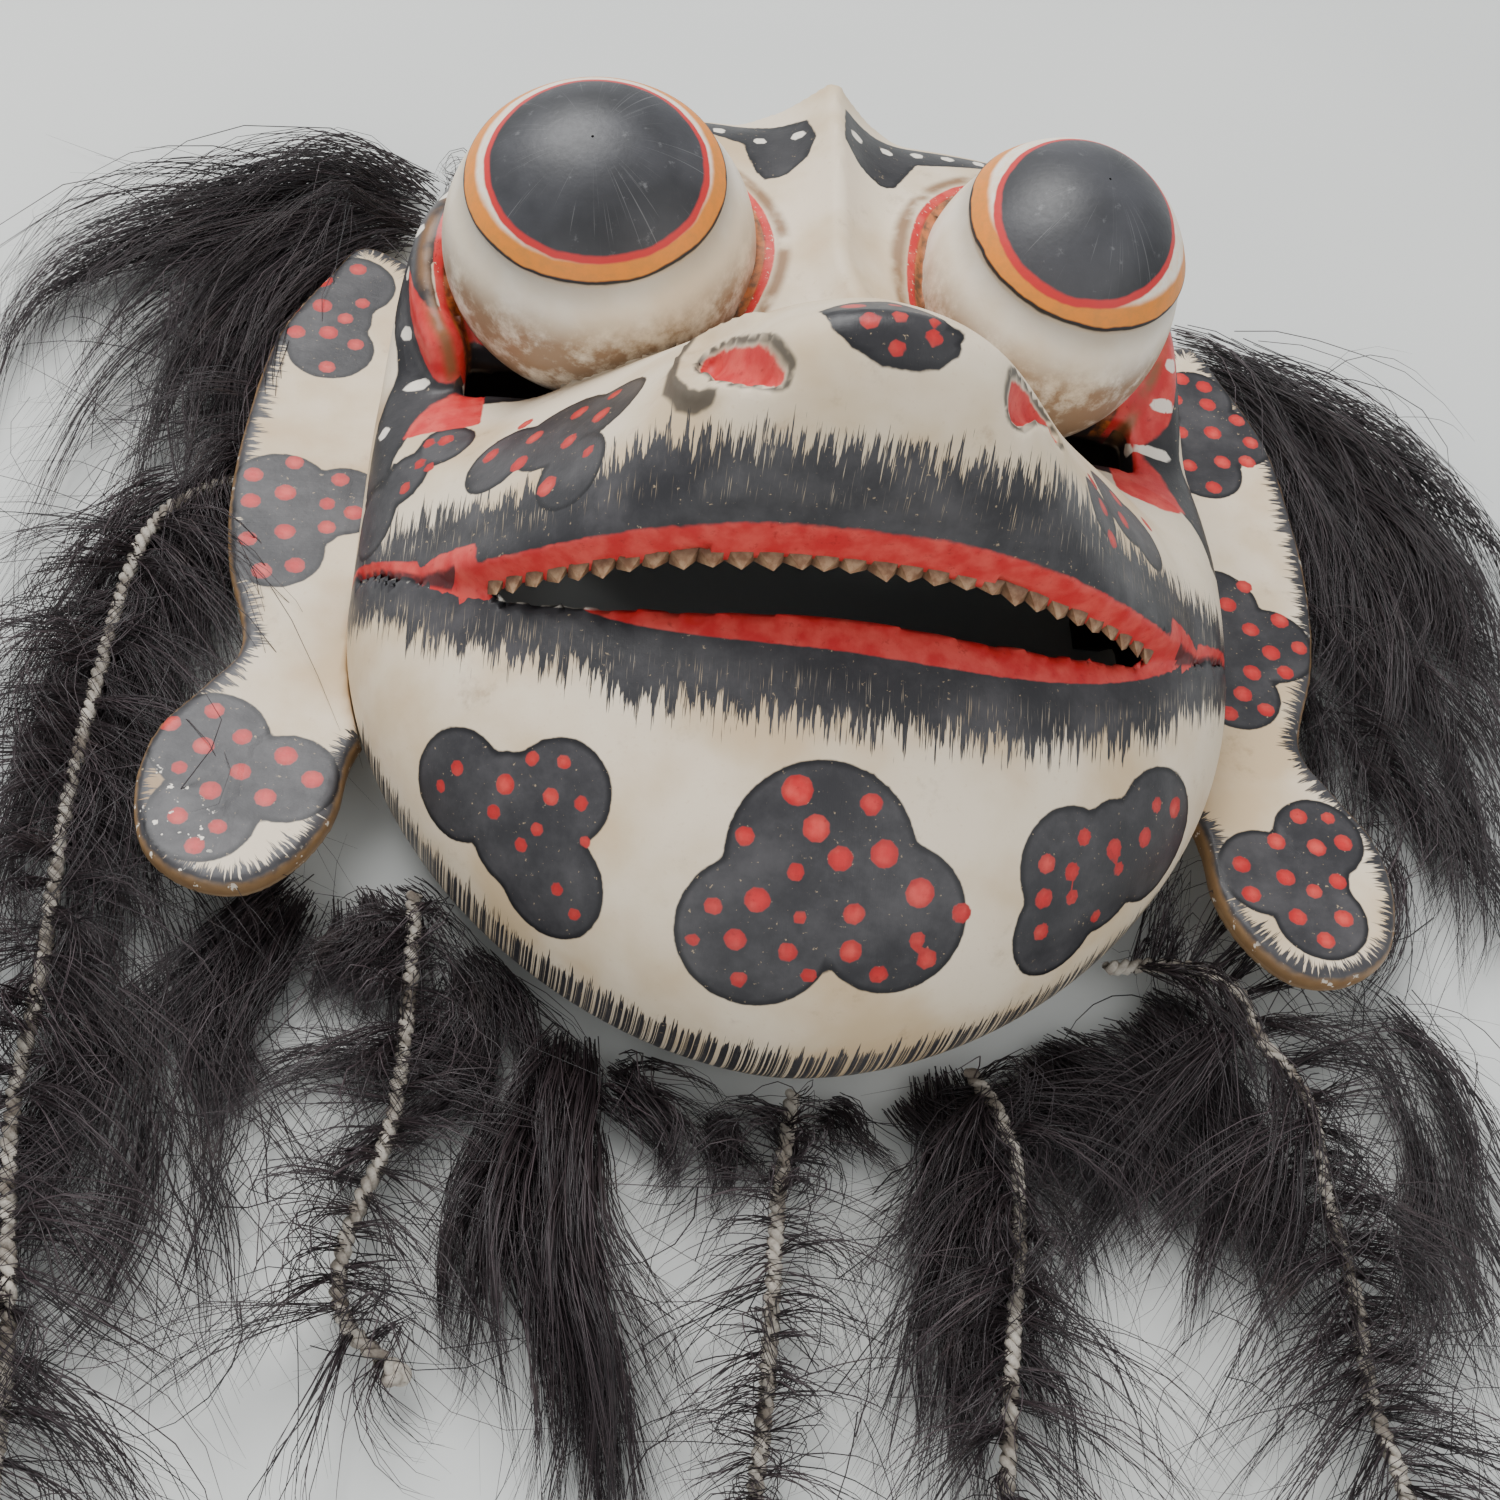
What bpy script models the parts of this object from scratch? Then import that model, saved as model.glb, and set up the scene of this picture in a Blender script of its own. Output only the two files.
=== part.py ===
"""Frog dance mask, lying on its back rim with the face up.

The head is one carved block: a hollow shell with two ball eyes on collars, a ridge between
them, an overhanging snout with nostrils and saw teeth, and a bowl of a lower jaw. Two flat
painted side boards butt against its walls, and strings and locks of hair lie around it.
Units are metres. +X is the mask's left as a viewer sees it on the right, +Y runs from the
chin to the crown, +Z from the back rim out of the face. The face is described from the
middle of the line between the corners of the mouth, and places around it in shares of the head:
x in half widths, y in crown reaches above the mouth and in jaw reaches below it.
"""
import math

import bmesh
import bpy
import numpy as np
from mathutils import Matrix, Vector

# Head, from the middle of the mouth's corner line
HEAD_HALF_WIDTH = 0.1015
JAW_REACH = 0.100
CROWN_REACH = 0.138
MOUTH_LIFT = 0.028
JAW_DEPTH = 0.061
BROW_DEPTH = 0.058
VALLEY_DROP = 0.026
RIM_TUCK_DEPTH = 0.045
WALL = 0.009
BROW_LEAN = 0.10
LEAN_REACH = 0.090

# Snout
CREASE_Y = 0.044
CREASE_HEIGHT = 0.067
LIP_DROP = 0.031
LIP_RISE = 0.0325
LIP_HEIGHT = 0.084
LIP_WALL = 0.012
CHEEK_BULGE = 0.009
NOSE_RISE = 0.033
NOSE_HALF_WIDTH = 0.040

# Mouth
MOUTH_HALF_WIDTH = 0.0985
LOWER_LIP_DROP = 0.034
CORNER_GROOVE = 0.005
HOLE_HALF_WIDTH = 0.072

# Teeth
TOOTH_COUNT = 29
TOOTH_HEIGHT = 0.004
TOOTH_DEPTH = 0.0046
TOOTH_ROW_HALF_WIDTH = 0.070

# Eyes: centre, half sizes across, along the face and outward, how far each looks aside, and how far
# its iris sits below the way the eye looks
EYE_LEFT_CENTRE = (-0.0535, 0.0730, 0.053)
EYE_LEFT_HALF_WIDTH = 0.0355
EYE_LEFT_TURN = -4.0
EYE_RIGHT_CENTRE = (0.0500, 0.0750, 0.052)
EYE_RIGHT_HALF_WIDTH = 0.0295
EYE_RIGHT_TURN = 18.0
EYE_HALF_LENGTH = 0.034
EYE_HALF_DEPTH = 0.035
EYE_TILT = 5.0
IRIS_DROP = 14.0
IRIS_ANGLE = 52.0
IRIS_STEP = 0.0013
COLLAR_GAP = 0.0012
COLLAR_WIDTH = 0.005
COLLAR_HEIGHT = -0.002

# Ridge between the eyes
RIDGE_CREST = 0.0655
RIDGE_CREST_TOP = 0.061
RIDGE_HALF_WIDTH = 0.020
RIDGE_FOOT = 0.042

# Sight slits under the eyes, and nostrils
SLIT_INNER = 0.040
SLIT_OUTER = 0.081
SLIT_LENGTH = 0.013
SLIT_TOP = 0.038
NOSTRIL_X = 0.0285
NOSTRIL_Y = -0.011
NOSTRIL_HALF_WIDTH = 0.0105
NOSTRIL_HALF_LENGTH = 0.0065
NOSTRIL_DEPTH = 0.0055

# Side boards: thickness, height of the top face at the mouth and its fall towards the crown
BOARD_THICKNESS = 0.007
BOARD_HEIGHT = 0.0215
BOARD_FALL = 0.05
JOINT_GAP = 0.0003

# Strings with hair bound on them, and locks of hair
CORD_RADIUS = 0.002
KNOT_RADIUS = 0.0042
HAIR_THICKNESS = 0.006
CORD_STEP = 0.011
HAIR_STEP = 0.013

# Outline of the right board in shares of the head, from its top down the outer edge and back
BOARD_OUTLINE = (
    (1.133, 0.978), (1.207, 0.884), (1.300, 0.710), (1.330, 0.500), (1.330, 0.304), (1.300, 0.145),
    (1.232, -0.040), (1.291, -0.170), (1.369, -0.300), (1.389, -0.450), (1.350, -0.600), (1.251, -0.680),
    (1.133, -0.690), (1.034, -0.615), (0.970, -0.490), (0.946, -0.310), (0.850, -0.150), (0.780, 0.200),
    (0.780, 0.600), (0.860, 0.800), (0.985, 0.928),
)

# Routes of the strings in shares of the head, from the wall of the head outwards
STRINGS = {
    "left_outer": ((-0.985, 0.440), (-1.200, 0.430), (-1.420, 0.350), (-1.520, 0.240), (-1.547, 0.015),
                   (-1.547, -0.450), (-1.517, -0.860), (-1.507, -1.170), (-1.429, -1.570), (-1.399, -1.790),
                   (-1.389, -1.960)),
    "left_inner": ((-0.790, -0.585), (-0.775, -0.810), (-0.778, -1.120), (-0.828, -1.330), (-0.840, -1.460),
                   (-0.800, -1.560), (-0.740, -1.600)),
    "chin": ((0.039, -0.985), (0.010, -1.210), (0.000, -1.420), (-0.010, -1.620), (-0.020, -1.730),
             (-0.030, -1.810), (-0.030, -1.930)),
    "right_inner": ((0.420, -0.900), (0.500, -1.050), (0.507, -1.250), (0.480, -1.500), (0.453, -1.780),
                    (0.448, -1.930)),
    "right_outer": ((0.745, -0.620), (0.900, -0.600), (1.034, -0.640), (1.094, -0.800), (1.172, -0.890),
                    (1.182, -1.120), (1.212, -1.340), (1.212, -1.550), (1.251, -1.720), (1.280, -1.900)),
}

# Hair bound along a string: its start and end as shares of the string, and its widest half width
BOUND_HAIR = {
    "left_outer": (0.30, 0.97, 0.022),
    "left_inner": (0.14, 0.96, 0.015),
    "chin": (0.10, 0.96, 0.013),
    "right_inner": (0.14, 0.96, 0.013),
    "right_outer": (0.20, 0.97, 0.017),
}

# Free locks: routes in shares of the head and widest half width
LOCKS = {
    "chin_left": (((-0.400, -0.960), (-0.424, -1.350), (-0.350, -1.650), (-0.315, -1.860)), 0.011),
    "right_outer": (((1.172, 1.110), (1.468, 0.884), (1.704, 0.638), (1.852, 0.326), (1.833, 0.072)), 0.012),
    "left_top": (((-0.966, 1.200), (-1.271, 1.200), (-1.567, 0.993), (-1.860, 0.804), (-1.890, 0.580),
                  (-1.872, 0.440)), 0.013),
}

# Facets of the head: steps around the plan, and its rings as shares of the outline
HEAD_SEGMENTS = 44
HEAD_SHARES = (0.9997, 0.996, 0.985, 0.96, 0.92, 0.86, 0.77, 0.66, 0.52, 0.36, 0.18)

MERGE_DISTANCE = 0.00002
CENTRE_Y = (CROWN_REACH - JAW_REACH) / 2.0


def smooth(value, low, high):
    """0 below low, 1 above high, and an S-curve between."""
    share = np.clip((value - low) / (high - low), 0.0, 1.0)
    return share * share * (3.0 - 2.0 * share)


def set_in_place(points, carved=True):
    """Moves points from the mouth's frame to the part's frame, and draws in the brow's right side."""
    moved = np.array(points, dtype=float)
    if carved:
        moved[:, 0] *= 1.0 - BROW_LEAN * smooth(moved[:, 1], 0.0, LEAN_REACH) * (moved[:, 0] > 0)
    moved[:, 1] -= CENTRE_Y
    moved[:, 2] += MOUTH_LIFT
    return moved


def material(name, colour, roughness):
    paint = bpy.data.materials.new(name)
    paint.use_nodes = True
    shader = paint.node_tree.nodes["Principled BSDF"]
    shader.inputs["Base Color"].default_value = (*colour, 1.0)
    shader.inputs["Roughness"].default_value = roughness
    return paint


def new_object(name, points, faces, paint=None):
    mesh = bpy.data.meshes.new(name)
    mesh.from_pydata([tuple(point) for point in points], [], faces)
    shape = bmesh.new()
    shape.from_mesh(mesh)
    bmesh.ops.triangulate(shape, faces=shape.faces)
    bmesh.ops.recalc_face_normals(shape, faces=shape.faces)
    shape.to_mesh(mesh)
    shape.free()
    if paint:
        mesh.materials.append(paint)
    made = bpy.data.objects.new(name, mesh)
    bpy.context.collection.objects.link(made)
    return made


def ring_body(rings, close_ends=True):
    """Closed body of equal rings of points, joined one to the next and capped."""
    count = len(rings[0])
    points = np.concatenate(rings)
    faces = []
    for level in range(len(rings) - 1):
        base = level * count
        for step in range(count):
            after = (step + 1) % count
            faces.append((base + step, base + after, base + count + after, base + count + step))
    if close_ends:
        last = (len(rings) - 1) * count
        faces.append(tuple(range(count - 1, -1, -1)))
        faces.append(tuple(range(last, last + count)))
    return points, faces


def tidy(mesh):
    """Merges points that coincide and drops faces with no area."""
    shape = bmesh.new()
    shape.from_mesh(mesh)
    bmesh.ops.remove_doubles(shape, verts=shape.verts, dist=MERGE_DISTANCE)
    bmesh.ops.dissolve_degenerate(shape, edges=shape.edges, dist=MERGE_DISTANCE)
    bmesh.ops.triangulate(shape, faces=shape.faces)
    shape.to_mesh(mesh)
    shape.free()
    return mesh


def join_shapes(target, others, operation):
    """Unites target with all the others at once, or cuts it with each in turn, and removes them."""
    groups = [others] if operation == "UNION" else [[other] for other in others]
    for members in groups:
        group = bpy.data.collections.new(operation)
        for member in members:
            group.objects.link(member)
        step = target.modifiers.new(operation, "BOOLEAN")
        step.operation = operation
        step.solver = "EXACT"
        step.operand_type = "COLLECTION"
        step.collection = group
        bpy.context.view_layer.update()
        graph = bpy.context.evaluated_depsgraph_get()
        shaped = bpy.data.meshes.new_from_object(target.evaluated_get(graph))
        target.modifiers.clear()
        target.data = tidy(shaped)
        for member in members:
            bpy.data.objects.remove(member)
        bpy.data.collections.remove(group)
    return target


def width_power(y):
    """How square the head's outline is at y: a rounded point at the chin, boxy at the brow."""
    return 1.8 + 2.2 * smooth(y, -0.020, 0.060)


def head_share(x, y, half_width, jaw, crown):
    """0 at the middle of the plan and 1 on its outline."""
    reach = np.where(y < 0, jaw, crown)
    power = np.where(y < 0, 1.8, 4.0)
    return (np.abs(x) / half_width) ** width_power(y) + (np.abs(y) / reach) ** power


def head_height(x, y, inset=0.0):
    """Height of the jaw bowl and the brow over the plan, inset by a wall."""
    share = head_share(x, y, HEAD_HALF_WIDTH - inset, JAW_REACH - inset, CROWN_REACH - inset)
    brow = smooth(y, -0.010, 0.050)
    under_eye = 1.0 - smooth(y, CREASE_Y + 0.006, CREASE_Y + 0.040)
    under_eye = under_eye * smooth(np.abs(x), 0.012, 0.040) * brow
    depth = JAW_DEPTH + (BROW_DEPTH - JAW_DEPTH) * brow - VALLEY_DROP * under_eye - inset
    edge_power = 0.50 - 0.34 * brow
    return depth * np.clip(1.0 - share, 0.0, 1.0) ** edge_power


def head_outline(count, inset=0.0):
    """Points around the plan at its widest level, evenly spaced."""
    turn = np.linspace(-math.pi / 2.0, math.pi / 2.0, 1500)
    lift = np.sin(turn)
    power = np.where(lift < 0, 1.8, 4.0)
    reach = np.where(lift < 0, JAW_REACH, CROWN_REACH) - inset
    y = np.sign(lift) * np.abs(lift) ** (2.0 / power) * reach
    x = (HEAD_HALF_WIDTH - inset) * np.cos(turn) ** (2.0 / width_power(y))
    x = np.concatenate([x, -x[::-1]])
    y = np.concatenate([y, y[::-1]])
    run = np.concatenate([[0.0], np.cumsum(np.hypot(np.diff(x), np.diff(y)))])
    stops = np.linspace(0.0, run[-1], count, endpoint=False)
    return np.interp(stops, run, x), np.interp(stops, run, y)


def tuck(depth):
    """Share of the widest outline at a depth below the mouth's corners."""
    return (1.0 - (depth / RIM_TUCK_DEPTH) ** 2.5) ** 0.4


def head_body(name, inset, rim, segments, shares):
    """Dome of the head: rings from the rim up the wall and over the face."""
    x, y = head_outline(segments, inset)
    rings = []
    for depth in (rim, 0.7 * MOUTH_LIFT, 0.35 * MOUTH_LIFT, 0.0):
        size = tuck(min(depth, MOUTH_LIFT))
        rings.append(np.stack([x * size, y * size, np.full_like(x, -depth)], axis=1))
    for share in shares:
        rings.append(np.stack([x * share, y * share, head_height(x * share, y * share, inset)], axis=1))
    points, faces = ring_body(rings)
    return new_object(name, set_in_place(points), faces)


def upper_lip_y(x):
    return -LIP_DROP + LIP_RISE * (np.abs(x) / MOUTH_HALF_WIDTH) ** 3.4


def upper_lip_z(x):
    return LIP_HEIGHT * (1.0 - (np.abs(x) / HEAD_HALF_WIDTH) ** 2.6)


def lower_lip_y(x):
    return -LOWER_LIP_DROP * (1.0 - (np.abs(x) / MOUTH_HALF_WIDTH) ** 3.3)


def crease_z(x):
    return CREASE_HEIGHT * (1.0 - (np.abs(x) / HEAD_HALF_WIDTH) ** 1.4)


def snout_height(x, y):
    """Snout from the crease under the eyes, over the nose, to the upper lip."""
    lip = upper_lip_y(x)
    run = np.clip((CREASE_Y - y) / (CREASE_Y - lip), 0.0, 1.0)
    cheek = CHEEK_BULGE * 4.0 * run * (1.0 - run)
    fall = np.cos(np.clip((run - 0.70) / 0.30, 0.0, 1.0) * math.pi / 2.0)
    rise = np.where(run < 0.70, run / 0.70, np.clip(fall, 0.0, 1.0) ** 0.8)
    nose = NOSE_RISE * rise * np.exp(-(np.abs(x) / NOSE_HALF_WIDTH) ** 3.0)
    return crease_z(x) + (upper_lip_z(x) - crease_z(x)) * run + cheek + nose


def lip_stations(reach):
    """Places across the lip that every form along it shares, out to a reach."""
    shared = HEAD_HALF_WIDTH * 0.975 * np.sin(np.linspace(-1.0, 1.0, 23) * math.pi / 2.0)
    within = shared[np.abs(shared) < reach - 0.002]
    return np.concatenate([[-reach], within, [reach]])


def snout_body():
    stations = lip_stations(HEAD_HALF_WIDTH * 0.975)
    rows = np.array([0.0, 0.14, 0.28, 0.42, 0.56, 0.70, 0.80, 0.90, 1.0])
    rings = []
    for x in stations:
        y = CREASE_Y + (upper_lip_y(x) - CREASE_Y) * rows
        z = snout_height(np.full_like(y, x), y)
        floor = -0.25 * MOUTH_LIFT
        ring = [(x, row_y, row_z) for row_y, row_z in zip(y, z)]
        ring.append((x, y[-1], floor))
        ring.append((x, y[0], floor))
        rings.append(np.array(ring))
    points, faces = ring_body(rings)
    return new_object("snout", set_in_place(points), faces)


def snout_hollow():
    """Space behind the snout, open down to the lower lip and out of the back."""
    reach = HEAD_HALF_WIDTH - WALL - 0.003
    stations = lip_stations(reach)
    rows = np.array([0.0, 0.35, 0.70, 0.85, 1.0])
    top = CREASE_Y - 0.010
    rings = []
    for x in stations:
        lower = upper_lip_y(x) - 0.0015 + 0.0085 * smooth(abs(x), HOLE_HALF_WIDTH - 0.006, HOLE_HALF_WIDTH + 0.006)
        y = top + (lower - top) * rows
        roof = LIP_WALL + 0.006 * smooth(abs(x), HOLE_HALF_WIDTH - 0.004, HOLE_HALF_WIDTH + 0.008)
        z = snout_height(np.full_like(y, x), y) - roof
        below = -MOUTH_LIFT - 0.005
        ring = [(x, row_y, max(row_z, below + 0.004)) for row_y, row_z in zip(y, z)]
        ring.append((x, lower, below))
        ring.append((x, top, below))
        rings.append(np.array(ring))
    points, faces = ring_body(rings)
    return new_object("snout hollow", set_in_place(points), faces)


def mouth_cut():
    """Slot between the lips, through the shell in the middle and a groove at the corners."""
    stations = lip_stations(MOUTH_HALF_WIDTH)
    rings = []
    for x in stations:
        deep = 1.0 - smooth(abs(x), HOLE_HALF_WIDTH - 0.004, HOLE_HALF_WIDTH + 0.004)
        groove = upper_lip_z(x) - CORNER_GROOVE
        floor = groove + (-0.5 * MOUTH_LIFT - groove) * deep
        lower = lower_lip_y(x)
        upper = upper_lip_y(x) + 0.0005
        roof = LIP_HEIGHT + 0.030
        rings.append(np.array([(x, lower, floor), (x, upper, floor), (x, upper, roof), (x, lower, roof)]))
    points, faces = ring_body(rings)
    return new_object("mouth cut", set_in_place(points), faces)


def eye_frame(centre, turn):
    """Place of an eye, with its own +Z along the way it looks."""
    aside = Matrix.Rotation(math.radians(turn), 4, "Y")
    upward = Matrix.Rotation(math.radians(-EYE_TILT), 4, "X")
    place = Vector((centre[0], centre[1] - CENTRE_Y, centre[2] + MOUTH_LIFT))
    return Matrix.Translation(place) @ aside @ upward


def turned_points(profile, half_width, half_length, segments, frame):
    """Rings of a profile of (share of the half width, height) turned about an eye's axis."""
    turn = np.linspace(0.0, 2.0 * math.pi, segments, endpoint=False)
    rings = []
    for radius, height in profile:
        ring = [frame @ Vector((radius * half_width * math.cos(a), radius * half_length * math.sin(a), height))
                for a in turn]
        rings.append(np.array(ring))
    return rings


def eye_ball(name, centre, half_width, turn, inset=0.0):
    """Ball with a raised iris, or its hollow when inset by a wall."""
    frame = eye_frame(centre, turn) @ Matrix.Rotation(math.radians(IRIS_DROP), 4, "X")
    profile = []
    angles = [172, 155, 136, 117, 98, 80, 66, IRIS_ANGLE + 1.5]
    iris = [] if inset else [IRIS_ANGLE, 44, 34, 22, 10]
    for angle in angles + iris + ([] if iris else [40, 22, 8]):
        size = 1.0 - inset / half_width
        if angle in iris:
            size += IRIS_STEP / half_width
        profile.append((size * math.sin(math.radians(angle)), size * EYE_HALF_DEPTH * math.cos(math.radians(angle))))
    segments = 10 if inset else 20
    rings = turned_points(profile, half_width, EYE_HALF_LENGTH, segments, frame)
    points, faces = ring_body(rings)
    return new_object(name, points, faces)


def eye_collar(name, centre, half_width, turn):
    """Raised rim around the ball, open above the sight slit."""
    frame = eye_frame(centre, turn)
    inner = 1.0 - 0.002 / half_width
    middle = 1.0 + (COLLAR_GAP + 0.5 * COLLAR_WIDTH) / half_width
    outer = 1.0 + (COLLAR_GAP + COLLAR_WIDTH) / half_width
    spread = 1.0 + (COLLAR_GAP + 1.4 * COLLAR_WIDTH) / half_width
    top = COLLAR_HEIGHT
    low = top - 0.030
    profile = [(inner, top - 0.004), (middle, top), (outer, top - 0.0015), (spread, low), (inner, low)]
    start = math.radians(-38)
    end = math.radians(218)
    turns = np.linspace(start, end, 17)
    rings = []
    for number, angle in enumerate(turns):
        edge = min(number, len(turns) - 1 - number)
        fade = 0.010 * (1.0 - smooth(edge, 0, 4))
        ring = [frame @ Vector((radius * half_width * math.cos(angle),
                                radius * EYE_HALF_LENGTH * math.sin(angle),
                                height - fade * (height > low)))
                for radius, height in profile]
        rings.append(np.array(ring))
    points, faces = ring_body(rings)
    return new_object(name, points, faces)


def ridge_body():
    """Sharp crest from the crown down to the snout."""
    foot = RIDGE_FOOT
    lines = ((CREASE_Y - 0.004, RIDGE_CREST), (0.5 * (CREASE_Y + CROWN_REACH), RIDGE_CREST),
             (CROWN_REACH - 0.007, RIDGE_CREST_TOP), (CROWN_REACH - 0.004, foot + 0.002))
    rings = [np.array([(-RIDGE_HALF_WIDTH, y, foot), (0.0, y, crest), (RIDGE_HALF_WIDTH, y, foot),
                       (0.0, y, foot - 0.004)]) for y, crest in lines]
    points, faces = ring_body(rings)
    return new_object("ridge", set_in_place(points), faces)


def block(name, low, high):
    corners = [(x, y, z) for x in (low[0], high[0]) for y in (low[1], high[1]) for z in (low[2], high[2])]
    faces = [(0, 1, 3, 2), (4, 6, 7, 5), (0, 4, 5, 1), (2, 3, 7, 6), (0, 2, 6, 4), (1, 5, 7, 3)]
    return new_object(name, set_in_place(corners), faces)


def sight_slit(name, side):
    """Gap under an eyeball, behind the top edge of the snout."""
    ends = sorted((side * SLIT_INNER, side * SLIT_OUTER))
    below = -MOUTH_LIFT
    return block(name, (ends[0], CREASE_Y, below), (ends[1], CREASE_Y + SLIT_LENGTH, SLIT_TOP))


def nostril(name, side):
    """Shallow oval pit in the wing of the nose."""
    middle_z = float(snout_height(np.array(NOSTRIL_X), np.array(NOSTRIL_Y)))
    frame = Matrix.Translation(Vector((side * NOSTRIL_X, NOSTRIL_Y - CENTRE_Y, middle_z + MOUTH_LIFT)))
    frame = frame @ Matrix.Rotation(math.radians(side * 32), 4, "Y") @ Matrix.Rotation(math.radians(18), 4, "X")
    profile = [(0.30, -NOSTRIL_DEPTH), (0.75, -0.8 * NOSTRIL_DEPTH), (1.0, 0.0), (1.0, 0.012)]
    rings = turned_points(profile, NOSTRIL_HALF_WIDTH, NOSTRIL_HALF_LENGTH, 12, frame)
    points, faces = ring_body(rings)
    return new_object(name, points, faces)


def teeth_row():
    """Row of four-sided points along the curve of the lip, on a strip let into its inner edge."""
    x = np.linspace(-TOOTH_ROW_HALF_WIDTH, TOOTH_ROW_HALF_WIDTH, 400)
    run = np.concatenate([[0.0], np.cumsum(np.hypot(np.diff(x), np.diff(upper_lip_z(x))))])
    stops = np.interp(np.linspace(0.0, run[-1], TOOTH_COUNT + 1), run, x)
    middle = 0.5 * (stops[1:] + stops[:-1])
    back = upper_lip_z(stops) - LIP_WALL + 0.0004
    root = upper_lip_y(stops) - 0.0002
    let_in = root + 0.003
    strip = np.concatenate([np.column_stack([stops, let_in, back]),
                            np.column_stack([stops, let_in, back + TOOTH_DEPTH]),
                            np.column_stack([stops, root, back + TOOTH_DEPTH]),
                            np.column_stack([stops, root, back])])
    tips = np.column_stack([middle, upper_lip_y(middle) - TOOTH_HEIGHT,
                            upper_lip_z(middle) - LIP_WALL + 0.5 * TOOTH_DEPTH])
    row = TOOTH_COUNT + 1
    faces = [(0, row, 2 * row, 3 * row), (row - 1, 4 * row - 1, 3 * row - 1, 2 * row - 1)]
    for a in range(TOOTH_COUNT):
        inner, outer, front, rear = a, a + row, a + 2 * row, a + 3 * row
        tip = 4 * row + a
        faces += [(inner, outer, outer + 1, inner + 1), (outer, front, front + 1, outer + 1),
                  (rear, inner, inner + 1, rear + 1), (front, tip, front + 1), (rear, rear + 1, tip),
                  (front, rear, tip), (front + 1, tip, rear + 1)]
    return new_object("teeth", set_in_place(np.concatenate([strip, tips])), faces)


def make_head(paint):
    inner_shares = (0.999, 0.97, 0.88, 0.72, 0.42)
    head = head_body("head", 0.0, MOUTH_LIFT, HEAD_SEGMENTS, HEAD_SHARES)
    eyes = ((EYE_LEFT_CENTRE, EYE_LEFT_HALF_WIDTH, EYE_LEFT_TURN),
            (EYE_RIGHT_CENTRE, EYE_RIGHT_HALF_WIDTH, EYE_RIGHT_TURN))
    added = [snout_body(), ridge_body()]
    for number, eye in enumerate(eyes):
        added.append(eye_collar(f"collar {number}", *eye))
        added.append(eye_ball(f"ball {number}", *eye))
    join_shapes(head, added, "UNION")
    cuts = [head_body("hollow", WALL, MOUTH_LIFT + 0.006, 24, inner_shares), snout_hollow(), mouth_cut()]
    for number, eye in enumerate(eyes):
        cuts.append(eye_ball(f"eye hollow {number}", *eye, inset=WALL))
    for side in (-1, 1):
        cuts.append(sight_slit(f"slit {side}", side))
        cuts.append(nostril(f"nostril {side}", side))
    join_shapes(head, cuts, "DIFFERENCE")
    join_shapes(head, [teeth_row()], "UNION")
    head.data.materials.clear()
    head.data.materials.append(paint)
    head.data.shade_smooth()
    head.data.set_sharp_from_angle(angle=math.radians(35))
    return head


def planar(shares):
    """Points of the plan from shares of the head."""
    across, along = np.array(shares, dtype=float).T
    reach = np.where(along < 0, JAW_REACH, CROWN_REACH)
    return np.stack([across * HEAD_HALF_WIDTH, along * reach], axis=1)


def smooth_route(points, step, closed=False):
    """Evenly spaced points on a Catmull-Rom curve through the given ones."""
    if closed:
        padded = np.concatenate([points[-1:], points, points[:2]])
    else:
        padded = np.concatenate([2.0 * points[:1] - points[1:2], points, 2.0 * points[-1:] - points[-2:-1]])
    share = np.linspace(0.0, 1.0, 24, endpoint=False)[:, None]
    runs = []
    for a, b, c, d in zip(padded[:-3], padded[1:-2], padded[2:-1], padded[3:]):
        bend = (2.0 * a - 5.0 * b + 4.0 * c - d) * share ** 2 + (3.0 * b - a - 3.0 * c + d) * share ** 3
        runs.append(0.5 * (2.0 * b + (c - a) * share + bend))
    fine = np.concatenate(runs + [padded[-2:-1]])
    run = np.concatenate([[0.0], np.cumsum(np.linalg.norm(np.diff(fine, axis=0), axis=1))])
    stops = np.linspace(0.0, run[-1], max(3, round(run[-1] / step) + 1))
    even = np.stack([np.interp(stops, run, fine[:, axis]) for axis in (0, 1)], axis=1)
    return even[:-1] if closed else even


def make_board(name, side, paint):
    """Flat board whose inner edge follows the wall of the head."""
    outline = smooth_route(planar(BOARD_OUTLINE), 0.010, closed=True) * (side, 1.0)
    top = BOARD_HEIGHT - MOUTH_LIFT - BOARD_FALL * outline[:, 1]
    rings = [np.column_stack([outline, top - BOARD_THICKNESS]), np.column_stack([outline, top])]
    points, faces = ring_body(rings)
    board = new_object(name, set_in_place(points, carved=False), faces, paint)
    join_shapes(board, [head_body("seat", -JOINT_GAP, MOUTH_LIFT, HEAD_SEGMENTS, HEAD_SHARES)], "DIFFERENCE")
    board.data.materials.clear()
    board.data.materials.append(paint)
    return board


def lock_body(route, half_width):
    """Flat lock along a route: full in the middle, narrow at both ends."""
    along = np.gradient(route, axis=0)
    along /= np.linalg.norm(along, axis=1)[:, None]
    aside = np.stack([-along[:, 1], along[:, 0]], axis=1)
    share = np.linspace(0.0, 1.0, len(route))
    width = half_width * (0.35 + 0.65 * np.sin(math.pi * share) ** 0.6)
    section = ((-1.0, 0.0), (1.0, 0.0), (0.85, 0.6), (0.35, 1.0), (-0.35, 1.0), (-0.85, 0.6))
    rings = []
    for middle, normal, half in zip(route, aside, width):
        rings.append(np.array([(*(middle + normal * half * across), HAIR_THICKNESS * up - MOUTH_LIFT)
                               for across, up in section]))
    points, faces = ring_body(rings)
    return set_in_place(points, carved=False), faces


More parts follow.
